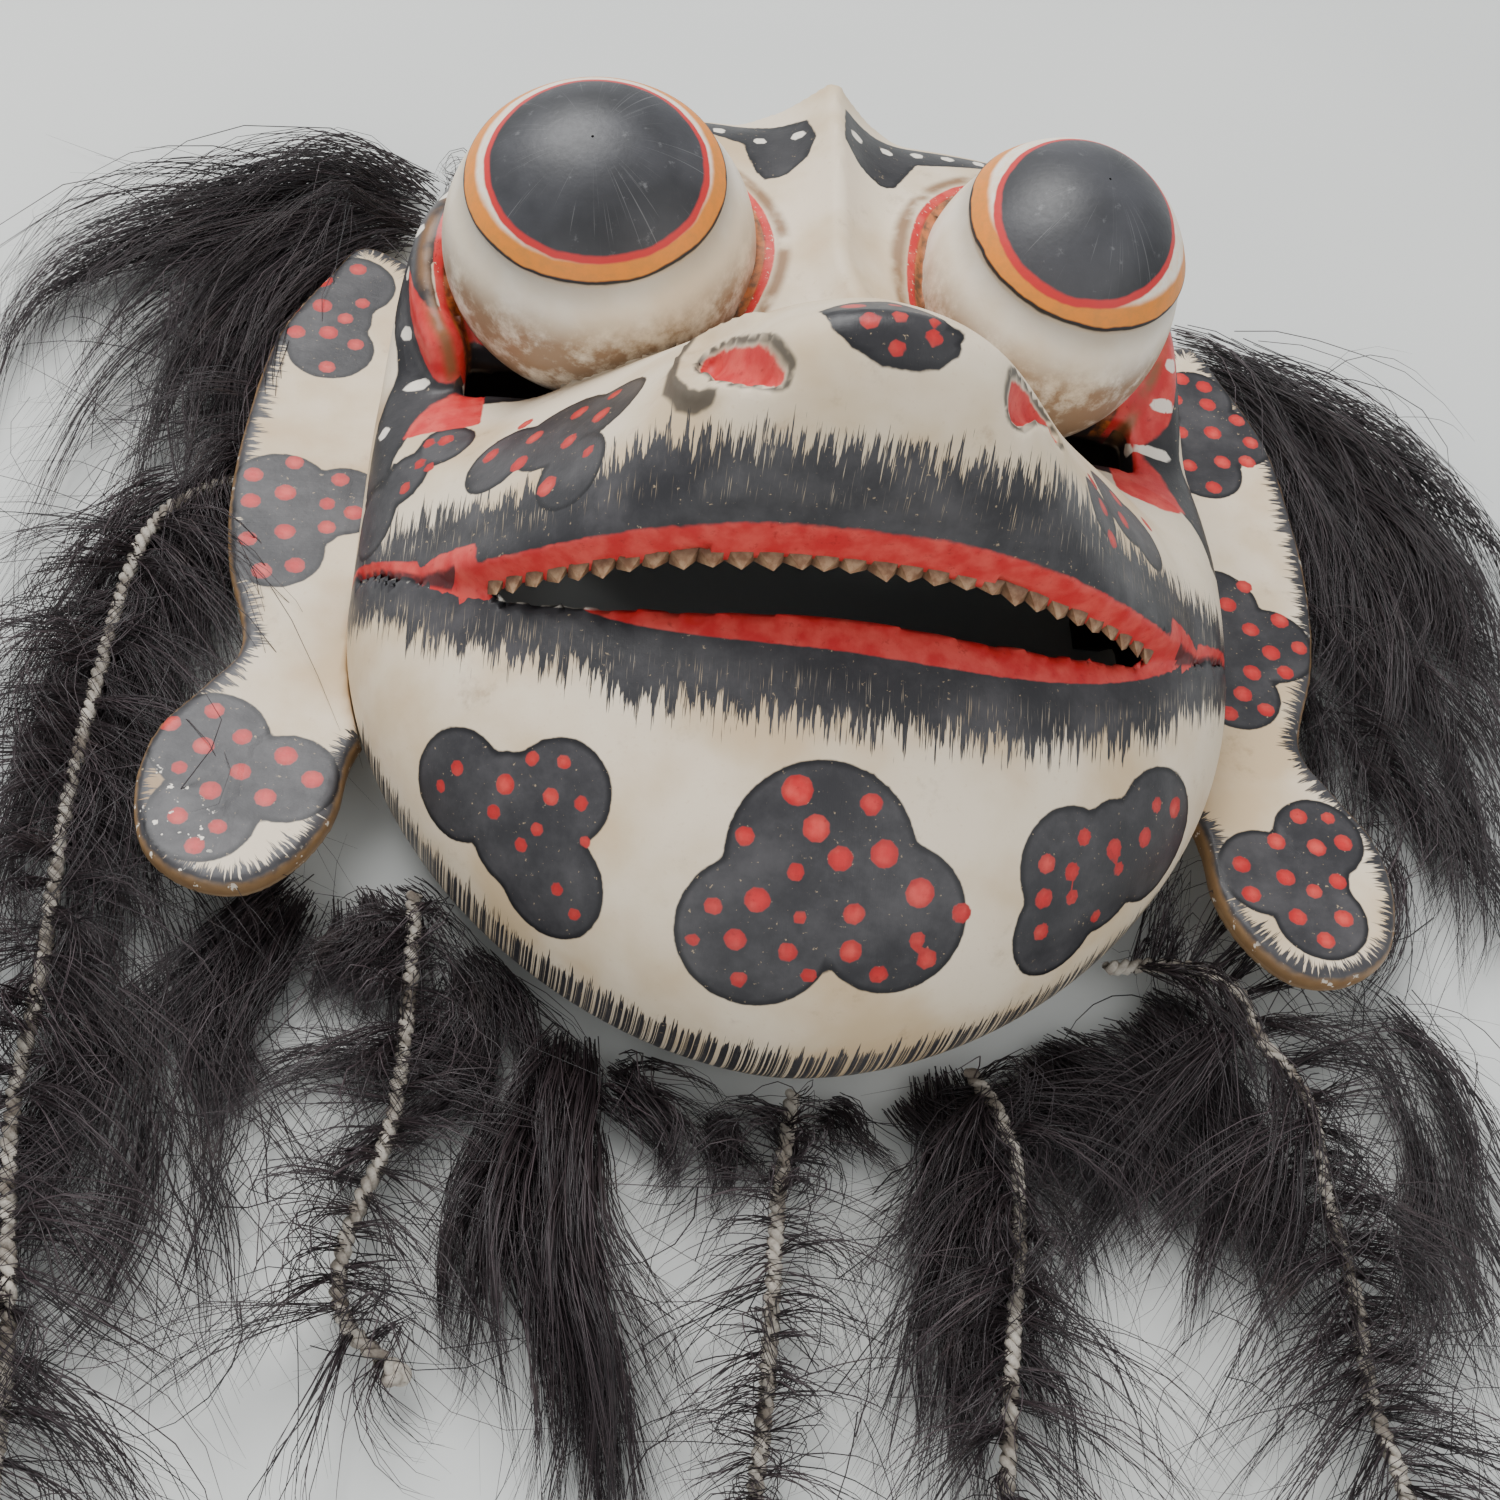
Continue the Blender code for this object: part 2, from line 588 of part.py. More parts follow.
def make_string(name, route, paint):
    """Round cord lying on its hair, with a knot at its end."""
    level = HAIR_THICKNESS + JOINT_GAP + CORD_RADIUS - MOUTH_LIFT
    centres = set_in_place(np.column_stack([route, np.full(len(route), level)]), carved=False)
    curve = bpy.data.curves.new(name, "CURVE")
    curve.dimensions = "3D"
    curve.bevel_depth = CORD_RADIUS
    curve.bevel_resolution = 2
    curve.use_fill_caps = True
    spline = curve.splines.new("POLY")
    spline.points.add(len(centres) - 1)
    for point, centre in zip(spline.points, centres):
        point.co = (*centre, 1.0)
    curve.materials.append(paint)
    made = bpy.data.objects.new(name, curve)
    bpy.context.collection.objects.link(made)
    return centres


def make_knot(name, centres, paint):
    """Round knot past the end of a cord."""
    along = centres[-1] - centres[-2]
    along /= np.linalg.norm(along)
    flat = math.sqrt(KNOT_RADIUS ** 2 - CORD_RADIUS ** 2)
    middle = Vector(centres[-1] + along * (flat + JOINT_GAP))
    frame = Matrix.Translation(middle) @ Vector(along).to_track_quat("Z", "Y").to_matrix().to_4x4()
    start = math.pi - math.asin(CORD_RADIUS / KNOT_RADIUS)
    profile = [(math.sin(angle), KNOT_RADIUS * math.cos(angle)) for angle in np.linspace(start, 0.2, 6)]
    points, faces = ring_body(turned_points(profile, KNOT_RADIUS, KNOT_RADIUS, 8, frame))
    new_object(name, points, faces, paint).data.shade_smooth()


def make_hair(wool, cord):
    for name, shares in STRINGS.items():
        route = smooth_route(planar(shares), CORD_STEP)
        centres = make_string(f"cord_{name}", route, cord)
        make_knot(f"knot_{name}", centres, cord)
        start, end, half_width = BOUND_HAIR[name]
        bound = route[round(start * (len(route) - 1)):round(end * (len(route) - 1)) + 1]
        points, faces = lock_body(bound, half_width)
        new_object(f"hair_{name}", points, faces, wool).data.shade_smooth()
    for name, (shares, half_width) in LOCKS.items():
        points, faces = lock_body(smooth_route(planar(shares), HAIR_STEP), half_width)
        new_object(f"lock_{name}", points, faces, wool).data.shade_smooth()


def centre_model(own):
    """Moves everything so that the mask and its own locks stand centred over the origin."""
    places = np.array([vertex.co[:2] for made in own for vertex in made.data.vertices])
    shift = -0.5 * (places.min(axis=0) + places.max(axis=0))
    for made in bpy.data.objects:
        made.data.transform(Matrix.Translation((*shift, 0.0)))


def main():
    for old in list(bpy.data.objects):
        bpy.data.objects.remove(old)
    make_head(material("head wood", (0.72, 0.63, 0.50), 0.55))
    make_board("board_left", -1, material("left board wood", (0.70, 0.61, 0.48), 0.55))
    make_board("board_right", 1, material("right board wood", (0.70, 0.61, 0.48), 0.55))
    make_hair(material("hair", (0.03, 0.025, 0.03), 0.45), material("cord", (0.50, 0.46, 0.40), 0.9))
    centre_model([made for made in bpy.data.objects
                  if not made.name.startswith(("cord_", "knot_", "hair_"))])


main()
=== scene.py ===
import math

import bpy
import numpy as np
from mathutils import Matrix, Vector


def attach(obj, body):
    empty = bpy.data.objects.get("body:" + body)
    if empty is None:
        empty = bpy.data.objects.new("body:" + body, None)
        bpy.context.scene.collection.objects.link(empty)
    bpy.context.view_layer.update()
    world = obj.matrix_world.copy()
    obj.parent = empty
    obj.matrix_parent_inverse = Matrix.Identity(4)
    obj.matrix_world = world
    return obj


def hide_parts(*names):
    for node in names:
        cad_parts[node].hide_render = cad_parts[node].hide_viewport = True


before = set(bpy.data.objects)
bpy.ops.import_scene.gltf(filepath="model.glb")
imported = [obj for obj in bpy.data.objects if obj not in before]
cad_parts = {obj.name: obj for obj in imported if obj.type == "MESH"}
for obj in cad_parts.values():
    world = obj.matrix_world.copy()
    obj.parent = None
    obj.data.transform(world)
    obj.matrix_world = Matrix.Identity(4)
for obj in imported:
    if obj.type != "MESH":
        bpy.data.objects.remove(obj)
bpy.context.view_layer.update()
chance = np.random.default_rng(41)

# Places are metres from the middle of the mouth's corner line, as in the CAD source
shift = np.array([0.0027152, 0.0047556, 0.028])
size = {
    "halfWidth": 0.1015, "jaw": 0.100, "crown": 0.138, "lift": 0.028, "jawDepth": 0.061, "browDepth": 0.058,
    "valley": 0.026, "tuck": 0.045, "wall": 0.009, "lean": 0.10, "leanReach": 0.090
}
snout = {"creaseY": 0.044, "creaseZ": 0.067, "drop": 0.031, "rise": 0.0325, "lipZ": 0.084, "wall": 0.012,
         "cheek": 0.009, "nose": 0.033, "noseWidth": 0.040, "mouth": 0.0985, "lower": 0.0296}
# a mark that is this many millimetres away leaves its spot unpainted
unpainted = 50.0
lowerLip = {"middle": 0.014, "half": 0.066, "red": 8.2}
slit = {"middle": 0.0605, "halfWide": 0.0205, "up": 0.0505, "halfTall": 0.0065, "top": 0.038}
eyes = {
    "left": {
        "centre": (-0.0535, 0.0730, 0.053), "half": 0.0355, "turn": -4.0, "iris": (-0.045, -0.280, 0.959),
        "pupil": (-0.020, -0.335, 0.942), "rings": (38.6, 41.2, 43.6, 50.2, 51.6)
    },
    "right": {
        "centre": (0.0500, 0.0750, 0.052), "half": 0.0295, "turn": 18.0, "iris": (-0.185, -0.090, 0.979),
        "pupil": (-0.262, -0.240, 0.935), "rings": (38.6, 41.6, 48.2, 55.8, 57.4)
    }
}
eye = {"length": 0.034, "depth": 0.035, "tilt": 5.0, "step": 0.0013}
teeth = {"count": 29, "height": 0.0025, "depth": 0.0040, "reach": 0.070}
board = {
    "thick": 0.007, "top": 0.0215, "fall": 0.05,
    "outline": (
        (1.133, .978), (1.207, .884), (1.300, .710), (1.330, .500), (1.330, .304), (1.300, .145),
        (1.232, -.040), (1.291, -.170), (1.369, -.300), (1.389, -.450), (1.350, -.600), (1.251, -.680),
        (1.133, -.690), (1.034, -.615), (.970, -.490), (.946, -.310), (.850, -.150), (.780, .200),
        (.780, .600), (.860, .800), (.985, .928)
    )
}
cord = {"radius": 0.002, "hair": 0.006, "gap": 0.0003, "step": 0.011, "fine": 0.0008, "pitch": 0.0056,
        "ply": 0.00098, "apart": 0.00092}
strand = {"thin": 0.00009, "thick": 0.00019, "steps": 7}
strings = {
    "left_outer": (
        (-.985, .440), (-1.200, .430), (-1.420, .350), (-1.520, .240), (-1.547, .015), (-1.547, -.450),
        (-1.517, -.860), (-1.507, -1.170), (-1.429, -1.570), (-1.399, -1.790), (-1.389, -1.960)
    ),
    "left_inner": (
        (-.790, -.585), (-.775, -.810), (-.778, -1.120), (-.828, -1.330), (-.840, -1.460), (-.800, -1.560),
        (-.740, -1.600)
    ),
    "chin": (
        (.039, -.985), (.010, -1.210), (.000, -1.420), (-.010, -1.620), (-.020, -1.730), (-.030, -1.810),
        (-.030, -1.930)
    ),
    "right_inner": (
        (.420, -.900), (.500, -1.050), (.507, -1.250), (.480, -1.500), (.453, -1.780), (.448, -1.930)
    ),
    "right_outer": (
        (.745, -.620), (.900, -.600), (1.034, -.640), (1.094, -.800), (1.172, -.890), (1.182, -1.120),
        (1.212, -1.340), (1.212, -1.550), (1.251, -1.720), (1.280, -1.900)
    )
}
locks = {
    "chin_left": ((-.410, -.880), (-.424, -1.350), (-.350, -1.650), (-.305, -1.990)),
    "right_outer": ((1.172, 1.110), (1.468, .884), (1.704, .638), (1.852, .326), (1.833, .072)),
    "left_top": (
        (-.966, 1.200), (-1.271, 1.200), (-1.567, .993), (-1.860, .804), (-1.890, .580), (-1.872, .440)
    )
}

# Painted marks in millimetres: x, y, radius, and on the head the height follows the form
jawDots = (
    (-57.7, -55, 1.6), (-51.5, -56.9, 1.6), (-72.5, -52.2, 1.7), (-62.5, -58, 2.2), (-6.1, -64.3, 3.2),
    (-75.7, -53.6, 1.5), (-53.3, -62.1, 1.9), (8.7, -65.4, 2.4), (74.4, -46.9, 1.9), (80.2, -44, 2.5),
    (-64.4, -61.7, 1.7), (-1.8, -70.3, 2.8), (-55.5, -66.8, 1.5), (-15.5, -72.2, 2.1), (55.7, -59.9, 2),
    (72, -53.4, 2.3), (-45.9, -70.8, 1.4), (63.7, -58.8, 2.4), (12.2, -73.2, 2.9), (3.5, -75.2, 2.6),
    (47.4, -67.1, 2.2), (53.6, -66.1, 2.1), (65.8, -61.1, 1.7), (-5, -77.6, 1.9), (20.3, -78.2, 3.1),
    (-11.9, -82.2, 2.6), (54.6, -69.9, 1.8), (47.9, -72.6, 2.3), (-20.2, -82.9, 1.9), (29.6, -79.3, 2.3),
    (7.3, -83.1, 2.3), (61.7, -69.5, 1.6), (-3.2, -84.7, 1.5), (48.5, -76.9, 2.1), (-15.2, -87.9, 2.3),
    (20.9, -84.7, 1.9), (-23.4, -87.6, 1.6), (7.6, -88.6, 2.4), (-4.8, -89.7, 2.1), (23.7, -87.3, 2.3),
    (14.1, -90.8, 2.1), (0, -92.2, 1.7), (-13.5, -93.2, 1.9), (-50.5, -76.5, 1.5), (-46.5, -80.5, 1.5),
    (-58.5, -68.5, 1.6), (-47.5, -64.5, 1.6)
)
jawLobes = (
    (-.1, -75.2, 19.2), (-11.7, -86.9, 16), (15.6, -83.1, 15.7), (-72.2, -55.1, 12), (-52.1, -62.1, 11.5),
    (-51.9, -75.5, 12), (-59, -67, 12), (-62, -60, 9), (52.7, -65.8, 12.5), (75, -51.5, 15),
    (52.1, -75.2, 11.5), (62, -64, 12.5), (63, -58, 9)
)
snoutDots = (
    (-50.6, 5.3, 2.4), (-54.7, 12.2, 2.4), (-65.9, 20, 2.2), (-63.4, 10.4, 2.3), (-56.6, 1.5, 2.2),
    (-52.8, -6.5, 1.7), (-72.5, 11.8, 2.3), (-66.3, 2.5, 2.4), (-60, -10.1, 2.6), (-83.1, 25.7, 2),
    (-86.8, 25.9, 1.7), (-88.1, 19.6, 1.6), (-85.7, 17.2, 1.5), (-90.5, 13.9, 1.7), (-48.3, 12.4, 1.9),
    (50.3, .2, 2.2), (59.6, 7.6, 2.2), (51.9, -6.7, 2.2), (59.8, -.8, 2.2), (70.9, 12.3, 2.2),
    (53.4, -13.7, 2.2), (-7.9, -4.4, 2.5), (-.2, -9.3, 1.7), (-5.6, -10.6, 1.9), (6.3, -9.3, 1.3),
    (6.4, -12.5, 1.8), (-.3, -14.8, 1.7), (0, -2, 1.5)
)
snoutLobes = ((-58.4, 8, 12), (-70.2, 8.5, 10), (-48.9, 7.4, 9), (-55.7, -9.3, 9.5), (-81.8, 23.5, 7.3),
              (-88.7, 17, 7.6), (-94.5, 11.4, 9.4), (58.6, 2.4, 9.5), (66.3, 1.7, 8.5), (51, -8.1, 7))
nosePatch = (
    (-14.5, -5.9), (-8, -.5), (0, 2.6), (6, -3), (9.4, -8.9), (13.8, -9.5), (11.5, -11.5), (11.7, -13.9),
    (8.3, -16.6), (3.6, -17.5), (-2.6, -17.5), (-8.4, -15.2), (-12.1, -12.2)
)
browPatches = (((-6.3, 122.9), (-4.4, 113.6), (-6.5, 106.2), (-11.8, 100.2), (-16.8, 99.1), (-19.2, 104),
                (-21.4, 114.7), (-37, 122), (-37, 128), (-20, 126)),
               ((2.7, 125.3), (1.9, 111.6), (5.8, 105.5), (12.1, 101), (15.3, 103), (21.3, 115.2), (45, 121),
                (45, 126), (15, 126)))
sideBand = (
    (83, 60), (72.6, 47), (66.5, 41), (56, 36), (32.6, 29.5), (20, 26), (20, 16), (40, 20), (60, 26),
    (75, 28), (90, 34), (124, 40), (124, 60)
)
redSides = (
    (
        (56.9, 41.4), (50.9, 44), (42, 43), (30, 34), (29.5, 28), (40, 28.8), (51.2, 30.5), (62, 34),
        (72, 41)
    ),
    ((80.5, 44), (70, 50), (52, 45), (36, 38), (30, 33), (33, 29), (45.8, 28), (60, 30), (77, 38))
)
whiteDots = ((-94, 79.2, 44.5), (-95.3, 72.6, 37.3), (-94.9, 61, 29.8), (-93.4, 48, 26.8), (-93.5, 35.5, 23),
             (-92, 90, 47), (-90.5, 101, 48.5), (-86, 112, 50), (85.4, 71.7, 38.4), (85.4, 63.2, 33.2),
             (84.8, 52.4, 27.9), (-17.2, 116.9, 59), (-8.4, 116.8, 61), (-27, 121, 57), (5.8, 117.6, 61),
             (14.1, 119.7, 59), (22, 121.5, 57), (30, 122.5, 56), (38, 123, 55))
boardMarks = {
    "left": {
        "lobes": (
            (-115.8, 118, 10.6), (-126.6, 104.4, 10.6), (-118.2, 93.3, 10.4), (-123.7, 42.3, 11.7),
            (-108.3, 41.2, 10.3), (-121.5, 23.2, 10.7), (-127.4, -33.2, 12.6), (-109.8, -41.3, 11),
            (-125.7, -52.8, 11.2)
        ),
        "dots": (
            (-115.1, 124.6, 2.3), (-123.5, 119, 2.5), (-122.4, 109, 2.6), (-112.4, 111.6, 2),
            (-119.5, 99.1, 2.5), (-127.5, 98, 2.4), (-112.2, 95.8, 2.2), (-118.2, 86.5, 2.2),
            (-130, 108, 2.3), (-116, 105, 2.1), (-121.3, 52.1, 2.3), (-130.3, 46.6, 2.4),
            (-109.8, 48.1, 2.2), (-122, 41.9, 2.6), (-129.6, 38.1, 2.4), (-111.8, 39.8, 2),
            (-105.3, 37.8, 2.4), (-110.9, 32.2, 2.2), (-120.3, 29.5, 2.5), (-128.4, 26, 2.3),
            (-116.4, 19.3, 2.4), (-123.8, 16.6, 2.5), (-127.5, -25, 2.2), (-136.2, -29.4, 2.3),
            (-120.5, -31.3, 2.2), (-128.2, -34.7, 2.4), (-110.6, -35.3, 2.6), (-132.2, -41, 1.8),
            (-119.4, -40.6, 2.3), (-104.1, -40.9, 2.4), (-124.8, -46.2, 2.4), (-113.2, -46.7, 2.4),
            (-130.4, -53.4, 2.2), (-121.8, -55.2, 2), (-125.7, -60.5, 2.2)
        )
    },
    "right": {
        "lobes": (
            (113.5, 113.5, 10), (123, 99.5, 9.8), (112.5, 85.9, 9.8), (108.9, 38.5, 11),
            (121.2, 26.4, 11.3), (110.6, 9.9, 10.5), (110.3, -42.1, 11), (124.5, -31.1, 10.3),
            (121.4, -53.1, 10.5)
        ),
        "dots": (
            (110.3, 120.7, 2.4), (116.6, 118.6, 2.4), (107.6, 112.2, 2.2), (116.7, 111.6, 2.4),
            (124.4, 106.7, 2.3), (116.7, 100.7, 2.5), (107.4, 99.4, 2.4), (127.1, 98.5, 2.3),
            (125, 90.9, 2.4), (118, 89.7, 2.4), (114.2, 79.8, 2.3), (108.5, 87, 2.2), (117.7, 45.4, 2.2),
            (112.3, 38.7, 2.4), (125.4, 35.1, 2.4), (117.2, 31.1, 2.3), (129.2, 26.7, 2.2),
            (121.5, 24.1, 2.4), (115.6, 17, 2.4), (124.3, 18.2, 2.2), (112.2, 9.9, 2.4), (117.4, 5.7, 2.2),
            (107.8, 3.4, 2.3), (104.5, 12, 2.2), (106, 31, 2.3), (103.5, 40, 2.3), (120.6, -25.4, 2.2),
            (127.9, -25.1, 1.8), (114, -33.2, 2.3), (130.4, -31.8, 2.3), (123.6, -33.8, 2.4),
            (104.6, -40.5, 2.3), (114.7, -43, 2.3), (127.1, -42.8, 2.2), (121, -46.1, 2),
            (105.8, -48.4, 2.3), (115.9, -53.4, 2.2), (126.8, -52.7, 2.3), (121.6, -58.9, 2.2)
        )
    }
}


# S-curve from 0 at low to 1 at high: t squared times (3 minus 2 t)
def smooth(value, low, high):
    t = np.clip((value - low) / (high - low), 0.0, 1.0)
    return t * t * (3.0 - 2.0 * t)


# The photo's camera
def makeCamera():
    rows = np.array([[0.9891, 0.017, 0.1466], [0.0959, -0.8289, -0.5512], [0.1121, 0.5592, -0.8214]])
    u, _, v = np.linalg.svd(rows)
    right, down, ahead = u @ v
    eyePoint = bpy.data.objects.new("camera", bpy.data.cameras.new("camera"))
    eyePoint.data.lens, eyePoint.data.sensor_width = 48.0, 36.0
    eyePoint.rotation_mode = "QUATERNION"
    eyePoint.rotation_quaternion = Matrix(np.column_stack([right, -down, -ahead]).tolist()).to_quaternion()
    eyePoint.location = (-0.0569548, -0.2707644, 0.3956)
    bpy.context.collection.objects.link(eyePoint)
    bpy.context.scene.camera = eyePoint


# A value on its way through the nodes: operators add Math nodes
class Wire:
    def __init__(self, graph, socket):
        self.graph, self.socket = graph, socket

    def maths(self, kind, *values):
        return self.graph.node("ShaderNodeMath", {"operation": kind}, values)

    def __add__(self, other):
        return self.maths("ADD", self, other)

    def __sub__(self, other):
        return self.maths("SUBTRACT", self, other)

    def __rsub__(self, other):
        return self.maths("SUBTRACT", other, self)

    def __mul__(self, other):
        return self.maths("MULTIPLY", self, other)

    def __truediv__(self, other):
        return self.maths("DIVIDE", self, other)

    def least(self, other):
        return self.maths("MINIMUM", self, other)

    def most(self, other):
        return self.maths("MAXIMUM", self, other)

    def between(self, low, high, start=0.0, end=1.0):
        settings = {"interpolation_type": "SMOOTHSTEP"}
        ends = {"From Min": low, "From Max": high, "To Min": start, "To Max": end}
        return self.graph.node("ShaderNodeMapRange", settings, {"Value": self, **ends})

    __radd__, __rmul__ = __add__, __mul__


# Nodes of one material, with the Principled shader at its end
class Graph:
    def __init__(self, name, roughness=0.5, specular=0.4):
        self.material = bpy.data.materials.new(name)
        self.material.use_nodes = True
        self.nodes, self.links = self.material.node_tree.nodes, self.material.node_tree.links
        self.shader = self.nodes["Principled BSDF"]
        self.shader.inputs["Roughness"].default_value = roughness
        self.shader.inputs["Specular IOR Level"].default_value = specular

    def fill(self, socket, value):
        if isinstance(value, Wire):
            self.links.new(value.socket, socket)
        else:
            socket.default_value = value

    def node(self, kind, settings=None, values=(), out=0):
        made = self.nodes.new(kind)
        for key, value in (settings or {}).items():
            setattr(made, key, value)
        named = values.items() if isinstance(values, dict) else enumerate(values)
        for key, value in named:
            self.fill(made.inputs[key], value)
        return Wire(self, made.outputs[out])

    def place(self):
        return self.node("ShaderNodeTexCoord", out="Object")

    def read(self, name):
        return self.node("ShaderNodeAttribute", {"attribute_name": name}, out="Fac")

    def joined(self, x, y, z=0.0):
        return self.node("ShaderNodeCombineXYZ", None, (x, y, z))

    def noise(self, scale, detail=3.0, where=None, rough=0.5):
        where = where or self.place()
        return self.node("ShaderNodeTexNoise", None, {"Vector": where, "Scale": scale, "Detail": detail,
                                                      "Roughness": rough})

    def blend(self, share, under, over):
        made = self.nodes.new("ShaderNodeMix")
        made.data_type = "RGBA"
        self.fill(made.inputs["Factor"], share)
        self.fill(made.inputs[6], under)
        self.fill(made.inputs[7], over)
        return Wire(self, made.outputs[2])

    def finish(self, colour, roughness=None, bump=None, strength=0.3, distance=0.0003):
        self.fill(self.shader.inputs["Base Color"], colour)
        if roughness:
            self.fill(self.shader.inputs["Roughness"], roughness)
        if bump:
            relief = {"Height": bump, "Strength": strength, "Distance": distance}
            raised = self.node("ShaderNodeBump", None, relief, out="Normal")
            self.fill(self.shader.inputs["Normal"], raised)
        return self.material


# Linear colour from the screen's 0 to 255 values
def rgb(red, green, blue):
    parts = np.array([red, green, blue]) / 255.0
    linear = np.where(parts <= 0.04045, parts / 12.92, ((parts + 0.055) / 1.055) ** 2.4)
    return (*linear.tolist(), 1.0)


paint = {
    "cream": rgb(226, 210, 186), "warm": rgb(203, 178, 142), "stainAndShade": rgb(128, 92, 58),
    "coal": rgb(46, 45, 48), "coalDark": rgb(28, 27, 30), "coalDusty": rgb(76, 74, 76),
    "red": rgb(196, 40, 42), "redDark": rgb(142, 28, 28), "redPale": rgb(214, 78, 70),
    "orange": rgb(224, 132, 36), "white": rgb(240, 232, 218), "wood": rgb(66, 46, 32),
    "edge": rgb(160, 130, 92), "gold": rgb(206, 128, 48), "shadeOrange": rgb(190, 104, 46),
    "shadeBrown": rgb(84, 52, 32)
}


# Cream ground with stains and painted shade, coal patches and bands with brushed edges, red dots, lips and
# lines
def woodPaint(name, board=False):
    g = Graph(name, specular=0.35)
    black, dot, edge = g.read("black"), g.read("dot"), g.read("edge")
    across, run = g.read("across"), g.read("run")
    broad, fine, grain = g.noise(28.0, 4.0), g.noise(900.0, 3.0, rough=0.6), g.noise(260.0, 4.0, rough=0.6)
    wobble = (g.noise(420.0, 2.0) - 0.5) * 1.1
    colour = g.blend(broad.between(0.38, 0.66), paint["cream"], paint["warm"])
    flecks = g.noise(75.0, 6.0, rough=0.7).between(0.58, 0.80)
    # brown: random stain flecks, plus the marked areas, which are painted shade on the head and real stains
    # on the boards
    stainsAndShade = flecks * 0.55 + g.read("stainAndShade").between(0.0, 1.0) * broad
    colour = g.blend(stainsAndShade.least(0.92), colour, paint["stainAndShade"])
    colour = g.blend(fine.between(0.60, 0.74) * 0.35, colour, paint["warm"])
    # brush strokes: the run from an edge is held against a noise drawn long along the strokes
    streak = g.noise(1.0, 3.0, g.joined(across * 0.85, run * 0.045), 0.62)
    hair = g.noise(1.0, 2.0, g.joined(across * 2.9, run * 0.09, 7.0), 0.6)
    reach, solid = g.read("reach"), g.read("solid")
    far = solid + (reach - solid) * (streak.between(0.30, 0.72) * 0.75 + hair.between(0.35, 0.7) * 0.35)
    brushed = (run - far).between(-0.5, 0.5, 1.0, 0.0)
    scratched = hair.between(0.60, 0.72) * (run - solid * 0.35).between(0.0, 6.0) * 0.75
    band = brushed * (1.0 - scratched)
    patch = (black + wobble * 0.5).between(-0.22, 0.22, 1.0, 0.0)
    coal = g.blend(g.noise(60.0, 5.0, rough=0.65).between(0.35, 0.75), paint["coal"], paint["coalDusty"])
    coal = g.blend((black + 0.9).between(-0.8, 0.6) * patch, coal, paint["coalDark"])
    coal = g.blend(fine.between(0.66, 0.74) * 0.5, coal, paint["warm"])
    ink = patch.most(band)
    colour = g.blend(ink, colour, coal)
    red = g.blend(g.noise(190.0, 4.0).between(0.36, 0.70), paint["red"], paint["redPale"])
    red = g.blend(g.noise(520.0, 3.0, rough=0.7).between(0.58, 0.75) * 0.5, red, paint["redDark"])
    spots = (dot + wobble * 0.45).between(-0.2, 0.2, 1.0, 0.0)
    rim = (dot + 0.7).between(-0.5, 0.5) * spots
    colour = g.blend(spots, colour, g.blend(rim * 0.55, red, paint["redDark"]))
    if board:
        # the cut edge and a worn border stay bare wood
        bare = (edge + wobble * 0.8).between(0.2, 1.3, 1.0, 0.0)
        colour = g.blend(bare * 0.85, colour, g.blend(grain, paint["edge"], paint["stainAndShade"]))
        chips = g.noise(330.0, 3.0, rough=0.6).between(0.63, 0.67) * g.read("stainAndShade").between(0.1, 0.7)
        colour = g.blend(chips, colour, paint["white"])
    else:
        redArea = (g.read("red") + wobble * 0.5).between(-0.25, 0.25, 1.0, 0.0)
        colour = g.blend(redArea, colour, red)
        ring = g.read("ring") + wobble * 0.35
        groove = (ring - 6.2).maths("ABSOLUTE", ring - 6.2).between(0.3, 2.6, 1.0, 0.0)
        colour = g.blend(groove * g.noise(120.0, 4.0).between(0.28, 0.58) * 0.9, colour, paint["stainAndShade"])
        line = (ring - 3.0).maths("ABSOLUTE", ring - 3.0).between(0.95, 1.40, 1.0, 0.0)
        colour = g.blend(line * fine.between(0.30, 0.40), colour, red)
        # painted shade: an orange-brown band where the ball meets its collar
        inner = (ring - 0.4).maths("ABSOLUTE", ring - 0.4).between(1.2, 2.2, 1.0, 0.0)
        ballFootShade = g.blend(grain.between(0.35, 0.65), paint["shadeOrange"], paint["shadeBrown"])
        colour = g.blend(inner * 0.92, colour, ballFootShade)
        white = (g.read("white") + wobble * 0.4).between(-0.2, 0.2, 1.0, 0.0)
        colour = g.blend(white * 0.92, colour, paint["white"])
        colour = g.blend(g.read("line").between(0.5, 1.3, 1.0, 0.0) * 0.85, colour, paint["coalDark"])
    # inside the hollow: dark bare wood, blended further towards near black as painted shade
    colour = g.blend(g.read("inside"), colour, g.blend(grain, paint["wood"], paint["coalDark"]))
    rough = ink.between(0.0, 1.0, 0.56, 0.40) + (grain - 0.5) * 0.16
    height = grain * 0.55 + fine * 0.30 + hair * ink * 0.20
    return g.finish(colour, rough, height, 0.32, 0.00035)


